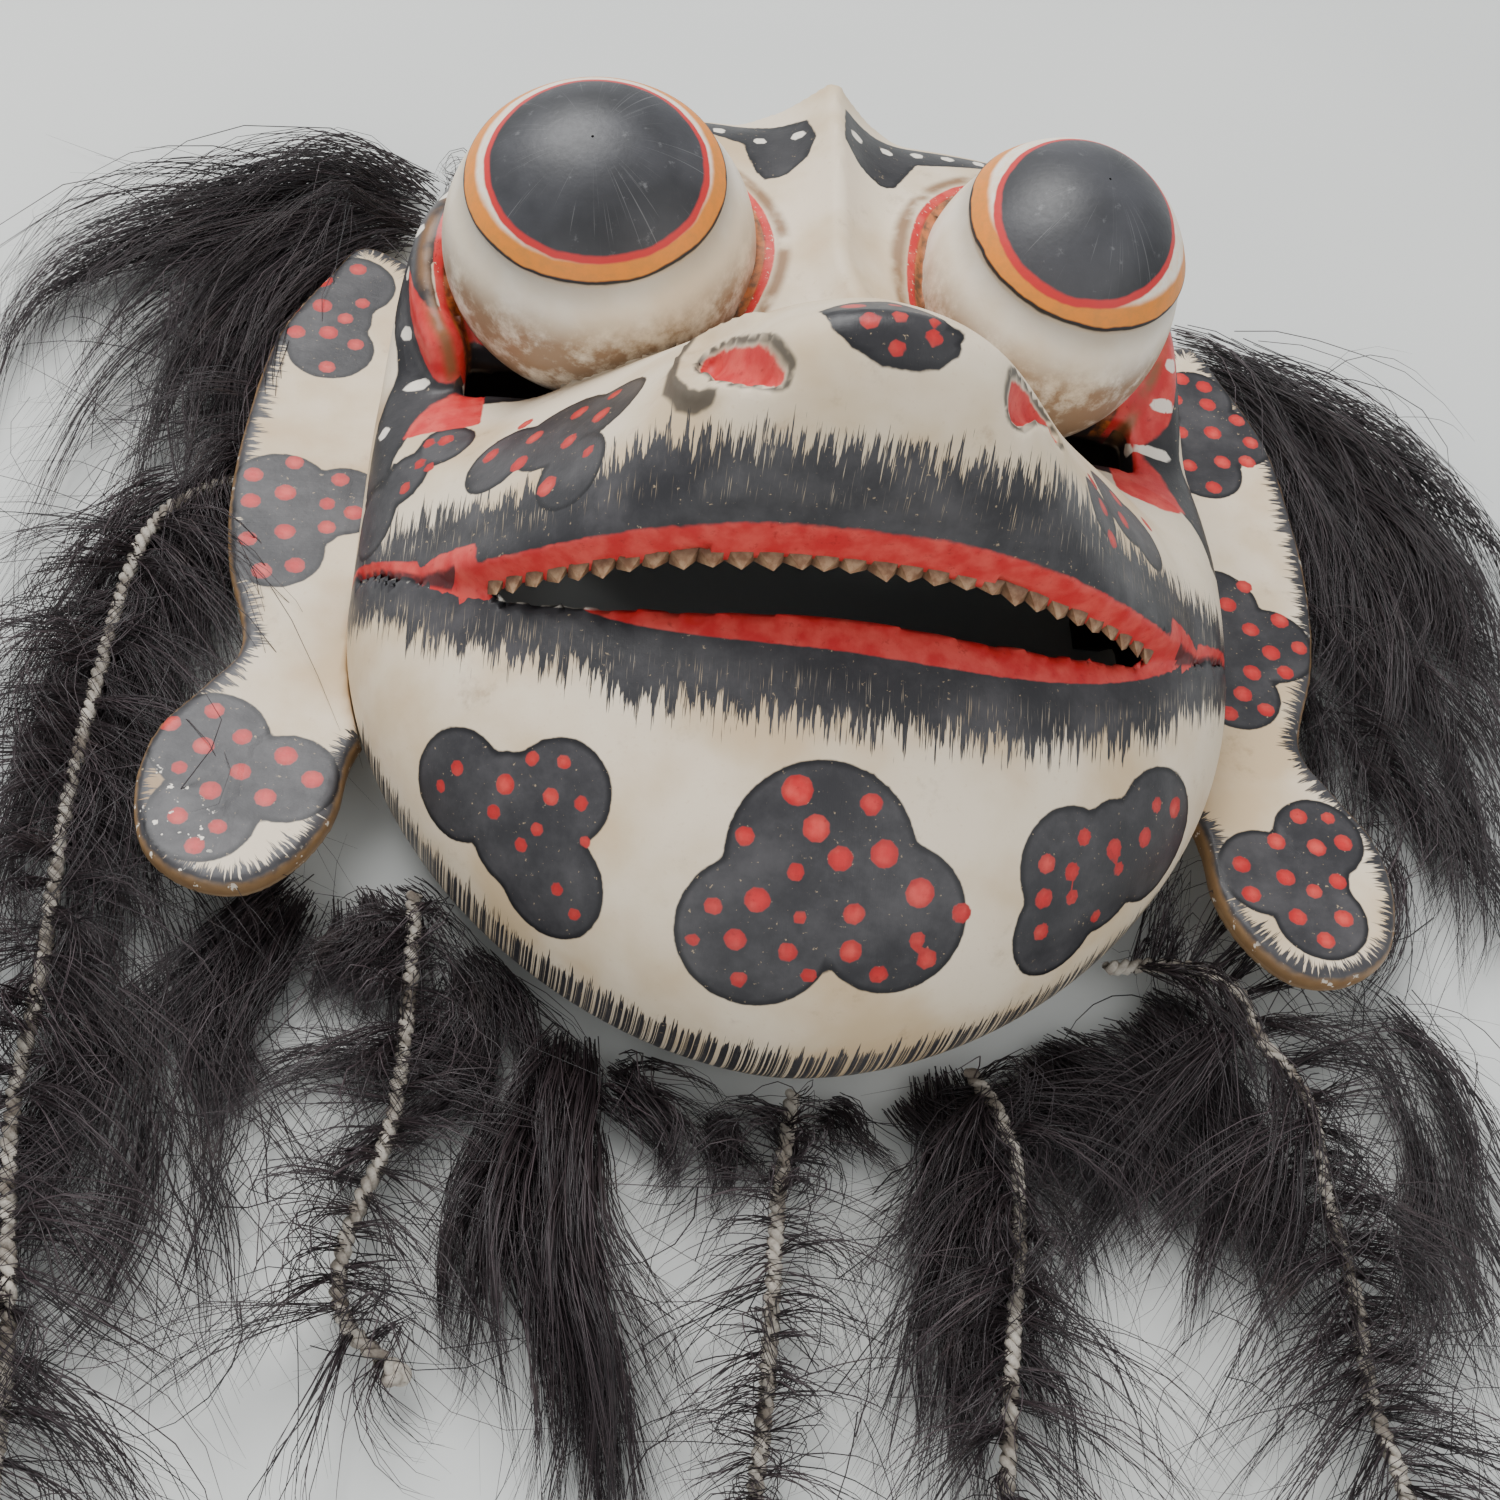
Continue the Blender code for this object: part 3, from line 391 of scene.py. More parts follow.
# Rings by the angle from two ways of looking: pupil and red line, then white, orange, dark line, cream ball
def eyePaint(name, rings):
    g = Graph(name, specular=0.45)
    pupilEdge, redEdge, whiteEdge, amberEdge, lineEdge = rings
    wobble = (g.noise(160.0, 2.0) - 0.5) * 2.0
    polar, centred = g.read("polar") + wobble, g.read("pupil") + wobble
    broad, fine = g.noise(45.0, 4.0), g.noise(800.0, 3.0, rough=0.6)
    ball = g.blend(broad.between(0.4, 0.7), paint["cream"], paint["white"])
    # brown grime with painted shade: it gathers on the ball's lower side, away from the iris
    grime = g.noise(110.0, 6.0, rough=0.7).between(0.30, 0.60)
    lowGrimeAndShade = grime * (polar - lineEdge).between(9.0, 32.0) * g.read("low")
    ball = g.blend(lowGrimeAndShade.least(0.85), ball, paint["stainAndShade"])
    # painted shade: a grey band on the ball just outside the iris's dark line
    colour = g.blend((polar - lineEdge).between(-1.0, 13.0, 1.0, 0.0) * 0.55, ball, rgb(120, 112, 104))
    streaks = g.noise(1.0, 3.0, g.joined(g.read("turn") * 9.0, polar * 0.25), 0.6)
    amber = g.blend(streaks.between(0.35, 0.7), paint["orange"], paint["gold"])
    pupil = g.blend(broad.between(0.3, 0.7), rgb(38, 38, 41), rgb(66, 66, 70))
    pupil = g.blend(g.noise(300.0, 5.0, rough=0.7).between(0.60, 0.76) * 0.5, pupil, rgb(120, 120, 122))
    hairline = g.noise(1.0, 2.0, g.joined(polar * 0.02, g.read("turn") * 60.0))
    pupil = g.blend(hairline.between(0.66, 0.72) * 0.25, pupil, rgb(150, 150, 150))
    white = g.blend(streaks.between(0.3, 0.7) * 0.5, paint["white"], rgb(236, 196, 150))
    colour = g.blend((polar - lineEdge).between(-0.5, 0.5, 1.0, 0.0), colour, paint["coalDark"])
    colour = g.blend((polar - amberEdge).between(-0.4, 0.4, 1.0, 0.0), colour, amber)
    colour = g.blend((polar - whiteEdge).between(-1.4, 1.4, 1.0, 0.0), colour, white)
    colour = g.blend((centred - redEdge).between(-0.5, 0.5, 1.0, 0.0), colour, paint["red"])
    dark = (centred - pupilEdge).between(-0.6, 0.6, 1.0, 0.0)
    colour = g.blend(dark, colour, pupil)
    rough = dark.between(0.0, 1.0, 0.48, 0.44) + (fine - 0.5) * 0.14
    return g.finish(colour, rough, fine * 0.5 + g.noise(200.0, 3.0), 0.22, 0.0003)


def toothPaint():
    g = Graph("tooth wood", 0.6)
    tone = g.noise(500.0, 4.0, rough=0.6)
    tip = g.read("tip").between(0.0, 1.0)
    colour = g.blend(tone.between(0.3, 0.7), rgb(186, 152, 116), rgb(134, 96, 66))
    # towards the roots, under the lip, the teeth are painted darker: painted shade
    return g.finish(g.blend((1.0 - tip) * 0.8, colour, rgb(74, 46, 34)), None, tone, 0.3)


# Near-black strands, each a little lighter or browner than the next
def hairPaint():
    g = Graph("horse hair", 0.42, 0.5)
    tone = g.read("tone")
    colour = g.blend(tone, rgb(20, 16, 18), rgb(78, 64, 68))
    colour = g.blend(g.noise(90.0, 3.0).between(0.58, 0.82) * 0.3, colour, rgb(96, 82, 78))
    return g.finish(colour, tone.between(0.0, 1.0, 0.36, 0.55))


def cordPaint():
    g = Graph("twisted cord", 0.9, 0.15)
    fuzz = g.noise(1500.0, 4.0, rough=0.7)
    mottle = g.noise(160.0, 4.0, rough=0.6).between(0.35, 0.7)
    colour = g.blend(mottle, rgb(196, 188, 176), rgb(120, 110, 100))
    return g.finish(g.blend(fuzz.between(0.55, 0.75) * 0.6, colour, rgb(70, 62, 58)), None, fuzz, 0.8, 0.0004)


def floorPaint():
    g = Graph("pale wall", 0.9, 0.2)
    soft = g.noise(4.0, 3.0)
    colour = g.blend(soft.between(0.3, 0.7), rgb(202, 204, 202), rgb(210, 211, 208))
    return g.finish(colour, None, g.noise(700.0, 3.0), 0.08, 0.0003)


# Mesh of points already in the row frame, with float marks on its points
def makeMesh(name, points, faces, material, marks=None, flat=False):
    mesh = bpy.data.meshes.new(name)
    mesh.from_pydata(np.asarray(points).tolist(), [], np.asarray(faces).tolist())
    for key, values in (marks or {}).items():
        layer = mesh.attributes.new(key, "FLOAT", "POINT")
        layer.data.foreach_set("value", np.asarray(values, dtype=np.float32))
    if not flat:
        mesh.shade_smooth()
    mesh.materials.append(material)
    made = bpy.data.objects.new(name, mesh)
    bpy.context.collection.objects.link(made)
    return made


def widthPower(y):
    return 1.8 + 2.2 * smooth(y, -0.020, 0.060)


# 0 at the plan's middle, 1 on its outline: powers of x and y added
def headShare(x, y, inset=0.0):
    reach = np.where(y < 0, size["jaw"], size["crown"]) - inset
    power = np.where(y < 0, 1.8, 4.0)
    return (np.abs(x) / (size["halfWidth"] - inset)) ** widthPower(y) + (np.abs(y) / reach) ** power


def headDepth(x, y, inset=0.0):
    brow = smooth(y, -0.010, 0.050)
    under = 1.0 - smooth(y, snout["creaseY"] + 0.006, snout["creaseY"] + 0.040)
    under = under * smooth(np.abs(x), 0.012, 0.040) * brow
    depth = size["jawDepth"] + (size["browDepth"] - size["jawDepth"]) * brow - size["valley"] * under - inset
    return depth, 0.50 - 0.34 * brow


# Depth times a power of what is left of the share
def headHeight(x, y, inset=0.0):
    depth, power = headDepth(x, y, inset)
    return depth * np.clip(1.0 - headShare(x, y, inset), 0.0, 1.0) ** power


def upperLipY(x):
    return -snout["drop"] + snout["rise"] * (np.abs(x) / snout["mouth"]) ** 3.4


def upperLipZ(x):
    return snout["lipZ"] * (1.0 - np.clip(np.abs(x) / size["halfWidth"], 0, 1) ** 2.6)


def lowerLipY(x):
    return -snout["lower"] * (1.0 - (np.abs(x) / snout["mouth"]) ** 3.3)


# Line from crease to lip, with a bulging cheek and a rounded nose added
def snoutHeight(x, y):
    lip = upperLipY(x)
    run = np.clip((snout["creaseY"] - y) / np.maximum(snout["creaseY"] - lip, 0.001), 0.0, 1.0)
    crease = snout["creaseZ"] * (1.0 - np.clip(np.abs(x) / size["halfWidth"], 0, 1) ** 1.4)
    fall = np.cos(np.clip((run - 0.70) / 0.30, 0.0, 1.0) * math.pi / 2.0)
    rise = np.where(run < 0.70, run / 0.70, np.clip(fall, 0.0, 1.0) ** 0.8)
    nose = snout["nose"] * rise * np.exp(-(np.abs(x) / snout["noseWidth"]) ** 3.0)
    return crease + (upperLipZ(x) - crease) * run + snout["cheek"] * 4.0 * run * (1.0 - run) + nose


# Undoes the narrowing of the brow's right side
def unlean(points):
    moved = points.copy()
    share = 1.0 - size["lean"] * smooth(points[..., 1], 0.0, size["leanReach"]) * (points[..., 0] > 0)
    moved[..., 0] /= share
    return moved


# Divides a field by its slope, so that near 0 it is a distance
def even(field, cell):
    slope = np.sqrt(sum(part ** 2 for part in np.gradient(field, cell)))
    return field / np.maximum(slope, 0.2 * np.median(slope))


# Smooth union: the lesser less a quarter of the squared overlap over k
def united(a, b, k):
    h = np.maximum(k - np.abs(a - b), 0.0)
    return np.minimum(a, b) - h * h / (4.0 * k)


def cut(a, b, k=0.0008):
    return -united(-a, b, k)


# Outline share plus the height's share to the inverse power, less 1; below the mouth a tucked outline
def domeField(x, y, z, cell, inset=0.0):
    depth, power = headDepth(x, y, inset)
    above = headShare(x, y, inset) + (np.maximum(z, 0.0) / depth) ** (1.0 / power) - 1.0
    tuckShare = (1.0 - (np.clip(-z, 0.0, 0.030) / size["tuck"]) ** 2.5) ** 0.4
    below = headShare(x / tuckShare, y / tuckShare, inset) - 1.0
    return even(np.where(z > 0, above, below), cell)


# Axes and centre of an eye, its own Z along the way it looks
def eyeMatrix(side):
    turn, tilt = math.radians(side["turn"]), math.radians(-eye["tilt"])
    aside = np.array(Matrix.Rotation(turn, 3, "Y"))
    return aside @ np.array(Matrix.Rotation(tilt, 3, "X")), np.array(side["centre"])


# Ball as an ellipsoid's near distance, and the collar as a rounded rim that opens below
def eyeField(points, side):
    axes, centre = eyeMatrix(side)
    own = (points - centre) @ axes
    half = np.array([side["half"], eye["length"], eye["depth"]])
    near = np.linalg.norm(own / half, axis=-1)
    ball = near * (near - 1.0) / np.maximum(np.linalg.norm(own / half ** 2, axis=-1), 1e-6)
    across = np.hypot(own[..., 0] / half[0], own[..., 1] / half[1])
    out = (across - 1.0) * half[0]
    gone = np.degrees(np.abs(np.arctan2(own[..., 0] / half[0], -own[..., 1] / half[1])))
    fade = 0.010 * (1.0 - smooth(gone, 52.0, 108.0)) + 0.040 * (1.0 - smooth(gone, 42.0, 58.0))
    top = -0.002 - fade - np.clip((out - 0.0034) / 0.0026, -2.2, 2.2) ** 2 * 0.0013
    collar = np.maximum(np.maximum((own[..., 2] - top) * 0.75, out - 0.0078), -out - 0.002)
    return ball, np.maximum(collar, -0.034 - own[..., 2]), out, own


# Nearest distance to a polyline, segment by segment, and the length run along it
def lineDistance(points, line):
    best = np.full(points.shape[:-1], 1.0)
    along = np.zeros(points.shape[:-1])
    done = 0.0
    for a, b in zip(line[:-1], line[1:]):
        step = b - a
        length = np.linalg.norm(step)
        share = np.clip(((points - a) @ step) / length ** 2, 0.0, 1.0)
        away = np.linalg.norm(points - a - share[..., None] * step, axis=-1)
        along = np.where(away < best, done + share * length, along)
        best = np.minimum(best, away)
        done += length
    return best, along


# Distance to a closed outline, negative inside by counting crossings
def polygonDistance(x, y, corners):
    corners = np.asarray(corners, dtype=float)
    looped = np.concatenate([corners, corners[:1]])
    away, along = lineDistance(np.stack([x, y], axis=-1), looped)
    inside = np.zeros(x.shape, dtype=bool)
    for (ax, ay), (bx, by) in zip(looped[:-1], looped[1:]):
        if ay != by:
            crosses = (ay > y) != (by > y)
            inside ^= crosses & (x < (bx - ax) * (y - ay) / (by - ay) + ax)
    return np.where(inside, -away, away), along


# Points of an even grid over a box
def grid(low, high, cell):
    lanes = [np.arange(a, b + cell, cell) for a, b in zip(low, high)]
    return np.stack(np.meshgrid(*lanes, indexing="ij"), axis=-1)


# Surface nets: one point per crossed cell at the mean of its edge crossings, one quad per crossed edge
def surfaceNet(field, low, cell):
    counts = np.array(field.shape) - 1
    total = np.zeros((*counts, 3))
    hits = np.zeros(counts)
    quads = []
    number = np.arange(counts.prod()).reshape(counts)
    for axis in range(3):
        one, two = (axis + 1) % 3, (axis + 2) % 3
        turned = np.moveaxis(field, (axis, one, two), (0, 1, 2))
        start, end = turned[:-1], turned[1:]
        crossed = (start < 0) != (end < 0)
        share = np.where(crossed, start / np.where(crossed, start - end, 1.0), 0.0)
        sums = np.moveaxis(total, (axis, one, two), (0, 1, 2))
        marks = np.moveaxis(hits, (axis, one, two), (0, 1, 2))
        for down in (0, 1):
            for side in (0, 1):
                window = (slice(None), slice(down, down + counts[one]), slice(side, side + counts[two]))
                found = crossed[window]
                sums[..., axis] += share[window] * found
                sums[..., one] += down * found
                sums[..., two] += side * found
                marks += found
        inner = crossed[:, 1:-1, 1:-1]
        where = np.argwhere(inner)
        ids = np.moveaxis(number, (axis, one, two), (0, 1, 2))
        i, j, k = where.T
        quad = np.stack([ids[i, j, k], ids[i, j + 1, k], ids[i, j + 1, k + 1], ids[i, j, k + 1]], axis=1)
        outward = start[:, 1:-1, 1:-1][i, j, k] < 0
        quads.append(np.where(outward[:, None], quad, quad[:, ::-1]))
    quads = np.concatenate(quads)
    used, faces = np.unique(quads, return_inverse=True)
    cells = np.stack(np.unravel_index(used, counts), axis=1)
    mean = total.reshape(-1, 3)[used] / np.maximum(hits.reshape(-1)[used], 1)[:, None]
    return np.array(low) + (cells + mean) * cell, faces.reshape(quads.shape)


# Least of distance less radius over round lobes, in millimetres
def nearLobes(points, centres):
    best = np.full(len(points), unpainted)
    for x, y, z, radius in centres:
        best = united(best, np.linalg.norm(points - (x, y, z), axis=1) - radius, 1.5)
    return best


# Least of (squared distance less squared radius) over twice the radius, in millimetres
def nearDots(points, centres):
    best = np.full(len(points), unpainted)
    for x, y, z, radius in centres:
        away = ((points - (x, y, z)) ** 2).sum(axis=1)
        best = np.minimum(best, (away - radius ** 2) / (2.0 * radius))
    return np.minimum(best, unpainted)


# Adds the height of a form to marks given by x, y and radius
def onForm(marks, height):
    marks = np.array(marks, dtype=float)
    z = height(marks[:, 0] / 1000.0, marks[:, 1] / 1000.0) * 1000.0
    return np.column_stack([marks[:, :2], z, marks[:, 2]])


nostrils = {"left": ((-.0335, .0005), (-.0317, .0032), (-.0287, .0030), (-.0256, -.0041), (-.0226, -.0094),
                     (-.0205, -.0133), (-.0187, -.0161), (-.0191, -.0180), (-.0204, -.0179), (-.0260, -.0153),
                     (-.0309, -.0113), (-.0333, -.0033)),
            "right": ((.0222, -.0150), (.0230, -.0104), (.0250, -.0080), (.0290, -.0055), (.0340, -.0060),
                      (.0375, -.0095), (.0350, -.0110), (.0331, -.0100), (.0293, -.0132), (.0264, -.0167),
                      (.0232, -.0175))}
# the curl beside the left nostril: a dark line of painted shade, and a raised ridge that lies inside of it
shade = np.array(((-.0225, .0085), (-.0265, .0120), (-.0310, .0150), (-.0344, .0143), (-.0376, .0058),
                  (-.0388, -.0041), (-.0365, -.0122), (-.0338, -.0152), (-.0318, -.0156)))
inward = np.array((-0.0280, -0.0040)) - shade
ridge = shade + 0.0017 * inward / np.linalg.norm(inward, axis=1)[:, None]
curls = {"ridge": ridge, "shade": shade}
curls = {key: np.column_stack([line, snoutHeight(line[:, 0], line[:, 1]) + 0.0004])
         for key, line in curls.items()}


# The head's solid as a field over an even grid, and the room inside its wall
def carveHead(low, high, cell):
    placed = grid(low, high, cell)
    points = unlean(placed)
    x, y, z = np.moveaxis(points, -1, 0)
    flatX, flatY = x[:, :, 0], y[:, :, 0]
    top = snoutHeight(flatX, flatY)
    slope = np.sqrt(1.0 + sum(part ** 2 for part in np.gradient(top, cell)))
    lip = upperLipY(flatX)
    lipSlope = np.sqrt(1.0 + np.gradient(lip, cell, axis=0) ** 2)
    front = ((lip - flatY) / lipSlope)[..., None]
    solidSnout = np.maximum.reduce([(z - top[..., None]) / slope[..., None] * np.ones_like(z), front + 0 * z,
                                    y - snout["creaseY"], np.abs(x) - 0.975 * size["halfWidth"], -z - 0.007])
    field = united(domeField(x, y, z, cell), solidSnout, 0.0016)
    crest = np.interp(y, (0.040, 0.091, 0.131), (0.0655, 0.0655, 0.061))
    bend = 0.0065 * smooth(0.070 - y, 0.0, 0.024)
    ridge = np.maximum.reduce([(z - crest + np.sqrt((x - bend) ** 2 + 0.0012 ** 2) * 1.175) * 0.65, 0.036 - y,
                               y - 0.1335, 0.030 - z])
    field = united(field, ridge, 0.0085)
    for side in eyes.values():
        ball, collar, _, _ = eyeField(placed, side)
        field = united(field, collar, 0.0030)
        field = united(field, ball + 0.0009, 0.0006)
    away, _ = lineDistance(placed, curls["ridge"])
    field = united(field, away - 0.0018, 0.0012)
    # cuts: the hollow, the space behind the snout, the mouth, the eyes, the slits and the nostrils
    hollow = domeField(x, y, z, cell, size["wall"])
    reach = np.abs(flatX)
    lower = lip - 0.0015 + 0.0085 * smooth(reach, 0.066, 0.078)
    roof = snout["wall"] + 0.006 * smooth(reach, 0.068, 0.080)
    overJaw = headHeight(flatX, flatY)[..., None] - z
    lipEdge = np.minimum(lowerLipY(flatX) + 0.0085 * smooth(reach, 0.066, 0.078), 0.030)
    gap = np.minimum(np.maximum((lower - flatY)[..., None], overJaw), (lipEdge - flatY)[..., None] + 0 * z)
    behind = np.maximum.reduce([(z - (top - roof)[..., None]) / slope[..., None] * np.ones_like(z),
                                gap, y - 0.034, np.abs(x) - 0.0895])
    deep = 1.0 - smooth(reach, 0.068, 0.076)
    grooveZ = upperLipZ(flatX) - 0.005
    floorZ = grooveZ + (-0.014 - grooveZ) * deep
    slot = np.maximum.reduce([(lowerLipY(flatX) - flatY)[..., None] + 0 * z,
                              (flatY - lip - 0.0005)[..., None] + 0 * z,
                              floorZ[..., None] - z, np.abs(x) - snout["mouth"]])
    inside = np.minimum(hollow, behind)
    for side in eyes.values():
        _, _, _, own = eyeField(placed, side)
        half = np.array([side["half"], eye["length"], eye["depth"]]) - size["wall"]
        inside = np.minimum(inside, (np.linalg.norm(own / half, axis=-1) - 1.0) * half[0])
    field = cut(cut(field, inside), slot, 0.0012)
    for way in (-1.0, 1.0):
        opening = np.maximum.reduce([np.abs(way * x - slit["middle"]) - slit["halfWide"],
                                     np.abs(y - slit["up"]) - slit["halfTall"], z - slit["top"]])
        field = cut(field, opening)
    for outline in nostrils.values():
        pit, _ = polygonDistance(placed[:, :, 0, 0], placed[:, :, 0, 1], outline)
        carved = (top - 0.0066 * smooth(-pit, -0.0008, 0.0022))[..., None]
        inPit = (pit < 0.0012)[..., None] & (z > 0.062)
        field = np.where(inPit, np.maximum(field, (z - carved) / 1.9), field)
    return np.maximum(field, -z - size["lift"]), np.minimum(hollow, behind)


# Red between the lips, and coal from their outer edges outwards
def lipMarks(x, y, z, facing):
    station = np.linspace(-0.11, 0.11, 600)
    arc = np.concatenate([[0.0], np.cumsum(np.hypot(np.diff(station), np.diff(upperLipZ(station))))])
    across = np.interp(x, station, arc - arc[300]) * 1000.0
    u, v = (y - upperLipY(x)) * 1000.0, (z - upperLipZ(x)) * 1000.0
    under = u + 0.25 * v
    upper = np.hypot(u, v)
    lowY = lowerLipY(x)
    lowZ = headHeight(x, lowY)
    below = np.hypot(y - lowY, z - lowZ) * 1000.0
    # the upper lip's own face looks towards the jaw or down, which sets it apart from the jaw's skin
    lipFace = ((facing[:, 1] < -0.42) | (facing[:, 2] < -0.25)) & (v > -18.5) & (u > -1.6) & (u < 12.0)
    narrow = np.abs(x) < 0.084
    halfway = 0.5 * (lowY + upperLipY(x))
    isJaw = np.where(narrow, (z < headHeight(x, y) + 0.003) & (y < lowY + 0.004), y < halfway)
    isJaw = isJaw.astype(bool) & ~(lipFace & (np.abs(x) < snout["mouth"]) & (narrow | (y > halfway)))
    lipRed = np.where(isJaw, unpainted, np.maximum(under - 0.4, -(v + 17.0)))
    lipRed = np.where(np.abs(x) > snout["mouth"], unpainted, lipRed)
    lipShare = (x - lowerLip["middle"]) / lowerLip["half"]
    thick = lowerLip["red"] * np.clip(1.0 - lipShare ** 2, 0.0, 1.0) ** 0.6
    lowRed = np.where(isJaw & (np.abs(lipShare) < 1.0), below - thick, unpainted)
    seam = (y - halfway) * 1000.0
    lipRed = np.where(np.abs(x) > 0.082, np.maximum(lipRed, seam - 3.6), lipRed)
    red = np.minimum(lipRed, lowRed)
    # a red band narrows outwards from each corner of the mouth
    corner = seam - 4.4 + 2.6 * smooth(np.abs(x), 0.075, 0.100)
    corner = np.maximum.reduce([corner, -seam, 73.0 - np.abs(x) * 1000.0])
    corner = np.where((np.abs(x) < 0.0855) & (v > 1.0) | (z < -0.006), unpainted, corner)
    red = np.minimum(red, corner)
    # a worn white line runs along the lower lip's left end
    worn = np.where(isJaw & (x < -0.045) & (x > -0.092), np.abs(below - 1.0) - 0.3, unpainted)
    # the jaw's bottom edge has a short coal fringe of its own
    bowl = np.maximum(z, 0.0) * 1000.0 + np.maximum(y + 0.030, 0.0) * 3000.0
    share = np.clip(np.abs(x) / snout["mouth"], 0.0, 1.0)
    run = np.where(isJaw, np.minimum(np.maximum(below - thick, 0.0), 60.0), upper)
    solid = np.where(isJaw, 9.0 - 1.5 * share, 13.0 - 5.0 * share)
    reachOut = np.where(isJaw, 22.0 - 6.0 * share ** 2, 25.0 - 6.0 * share ** 2)
    bottom = isJaw & (bowl < run * 0.6)
    run = np.where(bottom, bowl, run)
    solid = np.where(bottom, -4.5, solid)
    reachOut = np.where(bottom, 6.5, reachOut)
    coal = {"across": across, "run": run, "solid": solid, "reach": reachOut}
    return red, worn, seam, isJaw, coal


# Marks for the head's paint, in millimetres
def headMarks(spots, field, inner, low, cell):
    at = np.clip(np.round((spots - np.array(low)) / cell).astype(int), 0, np.array(field.shape) - 1)
    facing = np.stack([part[at[:, 0], at[:, 1], at[:, 2]] for part in np.gradient(field, cell)], axis=1)
    facing /= np.maximum(np.linalg.norm(facing, axis=1), 1e-6)[:, None]
    own = unlean(spots)
    mm = spots * 1000.0
    x, y, z = own.T
    lobes = np.concatenate([onForm(jawLobes, headHeight), onForm(snoutLobes, snoutHeight)])
    dots = np.concatenate([onForm(jawDots, headHeight), onForm(snoutDots, snoutHeight)])
    # each dot takes the height of the upward face that is nearest to it in plan
    aslant = 50.0 * (facing[:, 2] < 0.1)
    for dot in dots:
        apart = ((mm - dot[:3]) ** 2 * (1.0, 1.0, 0.02)).sum(axis=1)
        dot[2] = mm[np.argmin(apart + aslant), 2]
    black = nearLobes(mm, lobes)
    black = np.minimum(black, np.maximum(polygonDistance(mm[:, 0], mm[:, 1], nosePatch)[0], 60.0 - mm[:, 2]))
    for patch in browPatches:
        black = np.minimum(black, np.maximum(polygonDistance(mm[:, 0], mm[:, 1], patch)[0], 45.0 - mm[:, 2]))
    band = polygonDistance(mm[:, 1], mm[:, 2], sideBand)[0]
    black = np.minimum(black, np.maximum(band, np.where(np.abs(mm[:, 0]) > 60, -unpainted, unpainted)))
    red = np.full(len(mm), unpainted)
    for way, outline in zip((-1, 1), redSides):
        near = polygonDistance(mm[:, 1], mm[:, 2], outline)[0]
        red = np.minimum(red, np.maximum(near, (76.0 if way < 0 else 70.0) - way * mm[:, 0]))
    rim = np.full(len(mm), unpainted)
    for outline in nostrils.values():
        near = polygonDistance(spots[:, 0], spots[:, 1], outline)[0] * 1000.0
        red = np.minimum(red, np.where(z > 0.058, near + 0.3, unpainted))
        rim = np.minimum(rim, np.where(z > 0.062, np.abs(near - 0.5) + 0.3, unpainted))
    lipRed, worn, seam, isJaw, coal = lipMarks(x, y, z, facing)
    red = np.minimum(red, lipRed)
    ring = np.full(len(mm), unpainted)
    for side in eyes.values():
        _, _, out, place = eyeField(spots, side)
        away = np.where(place[:, 2] > -0.030, out * 1000.0, unpainted)
        ring = np.where(np.abs(away) < np.abs(ring), away, ring)
    # on the outer sides the eye's red line runs close to the ball, and coal starts next to it
    aside = 2.0 * smooth(np.abs(own[:, 0]), 0.070, 0.080)
    ring = np.where(own[:, 1] < 0.046, unpainted, ring + np.where(ring < 40.0, aside, 0.0))
    beside = np.maximum.reduce([4.6 - ring, 76.0 - np.abs(mm[:, 0]), 50.0 - mm[:, 1], mm[:, 1] - 118.0])
    black = np.minimum(black, np.where(ring < 12.0, beside, unpainted))
    within = smooth(-inner[at[:, 0], at[:, 1], at[:, 2]], -0.0030, -0.0012)
    within = np.where((isJaw & (facing[:, 2] > 0.15)) | (red < 0.0), 0.0, within)
    # the dark line beside the curl is painted shade of its ridge
    line = lineDistance(spots[:, :2], curls["shade"][:, :2])[0] * 1000.0 - 0.15
    line = np.minimum(np.where(z > 0.055, line, unpainted), rim)
    line = np.minimum(line, np.where((np.abs(x) > 0.077) & (z > 0.0), np.abs(seam), unpainted))
    whites = np.column_stack([np.array(whiteDots), np.full(len(whiteDots), 1.8)])
    white = np.full(len(mm), unpainted)
    # dots on the head's sides are measured in the side's plane, the others in plan
    planes = ((whites[:, 0] < -70, (0, 1, 1), mm[:, 0] < -72),
              (whites[:, 0] > 70, (0, 1, 1), mm[:, 0] > 72),
              (np.abs(whites[:, 0]) < 70, (1, 1, 0), mm[:, 2] > 45))
    for group, flatten, keep in planes:
        near = nearDots(mm * flatten, whites[group] * (*flatten, 1.0))
        white = np.where(keep, np.minimum(white, near), white)
    # painted shade: brown darkening along the crease between snout and brow, and low on the walls towards the
    # floor
    stainAndShade = smooth(-np.abs(y - 0.046), -0.010, 0.0) * 0.8 + smooth(-z, 0.010, 0.028) * 0.5
    return {"black": black, "dot": nearDots(mm, dots), "white": np.minimum(white, worn), "red": red,
            "ring": ring, "inside": within, "line": line, "stainAndShade": stainAndShade,
            "edge": np.full(len(mm), unpainted), **coal}


def makeHead(material, cell=0.00172):
    low, high = (-0.1065, -0.1045, -0.0330), (0.1065, 0.1425, 0.1260)
    field, inner = carveHead(low, high, cell)
    print("head field", field.shape)
    spots, faces = surfaceNet(field, low, cell)
    marks = headMarks(spots, field, inner, low, cell)
    made = makeMesh("carvedHead", spots + shift, faces, material, marks)
    print("head faces", len(faces))
    return made


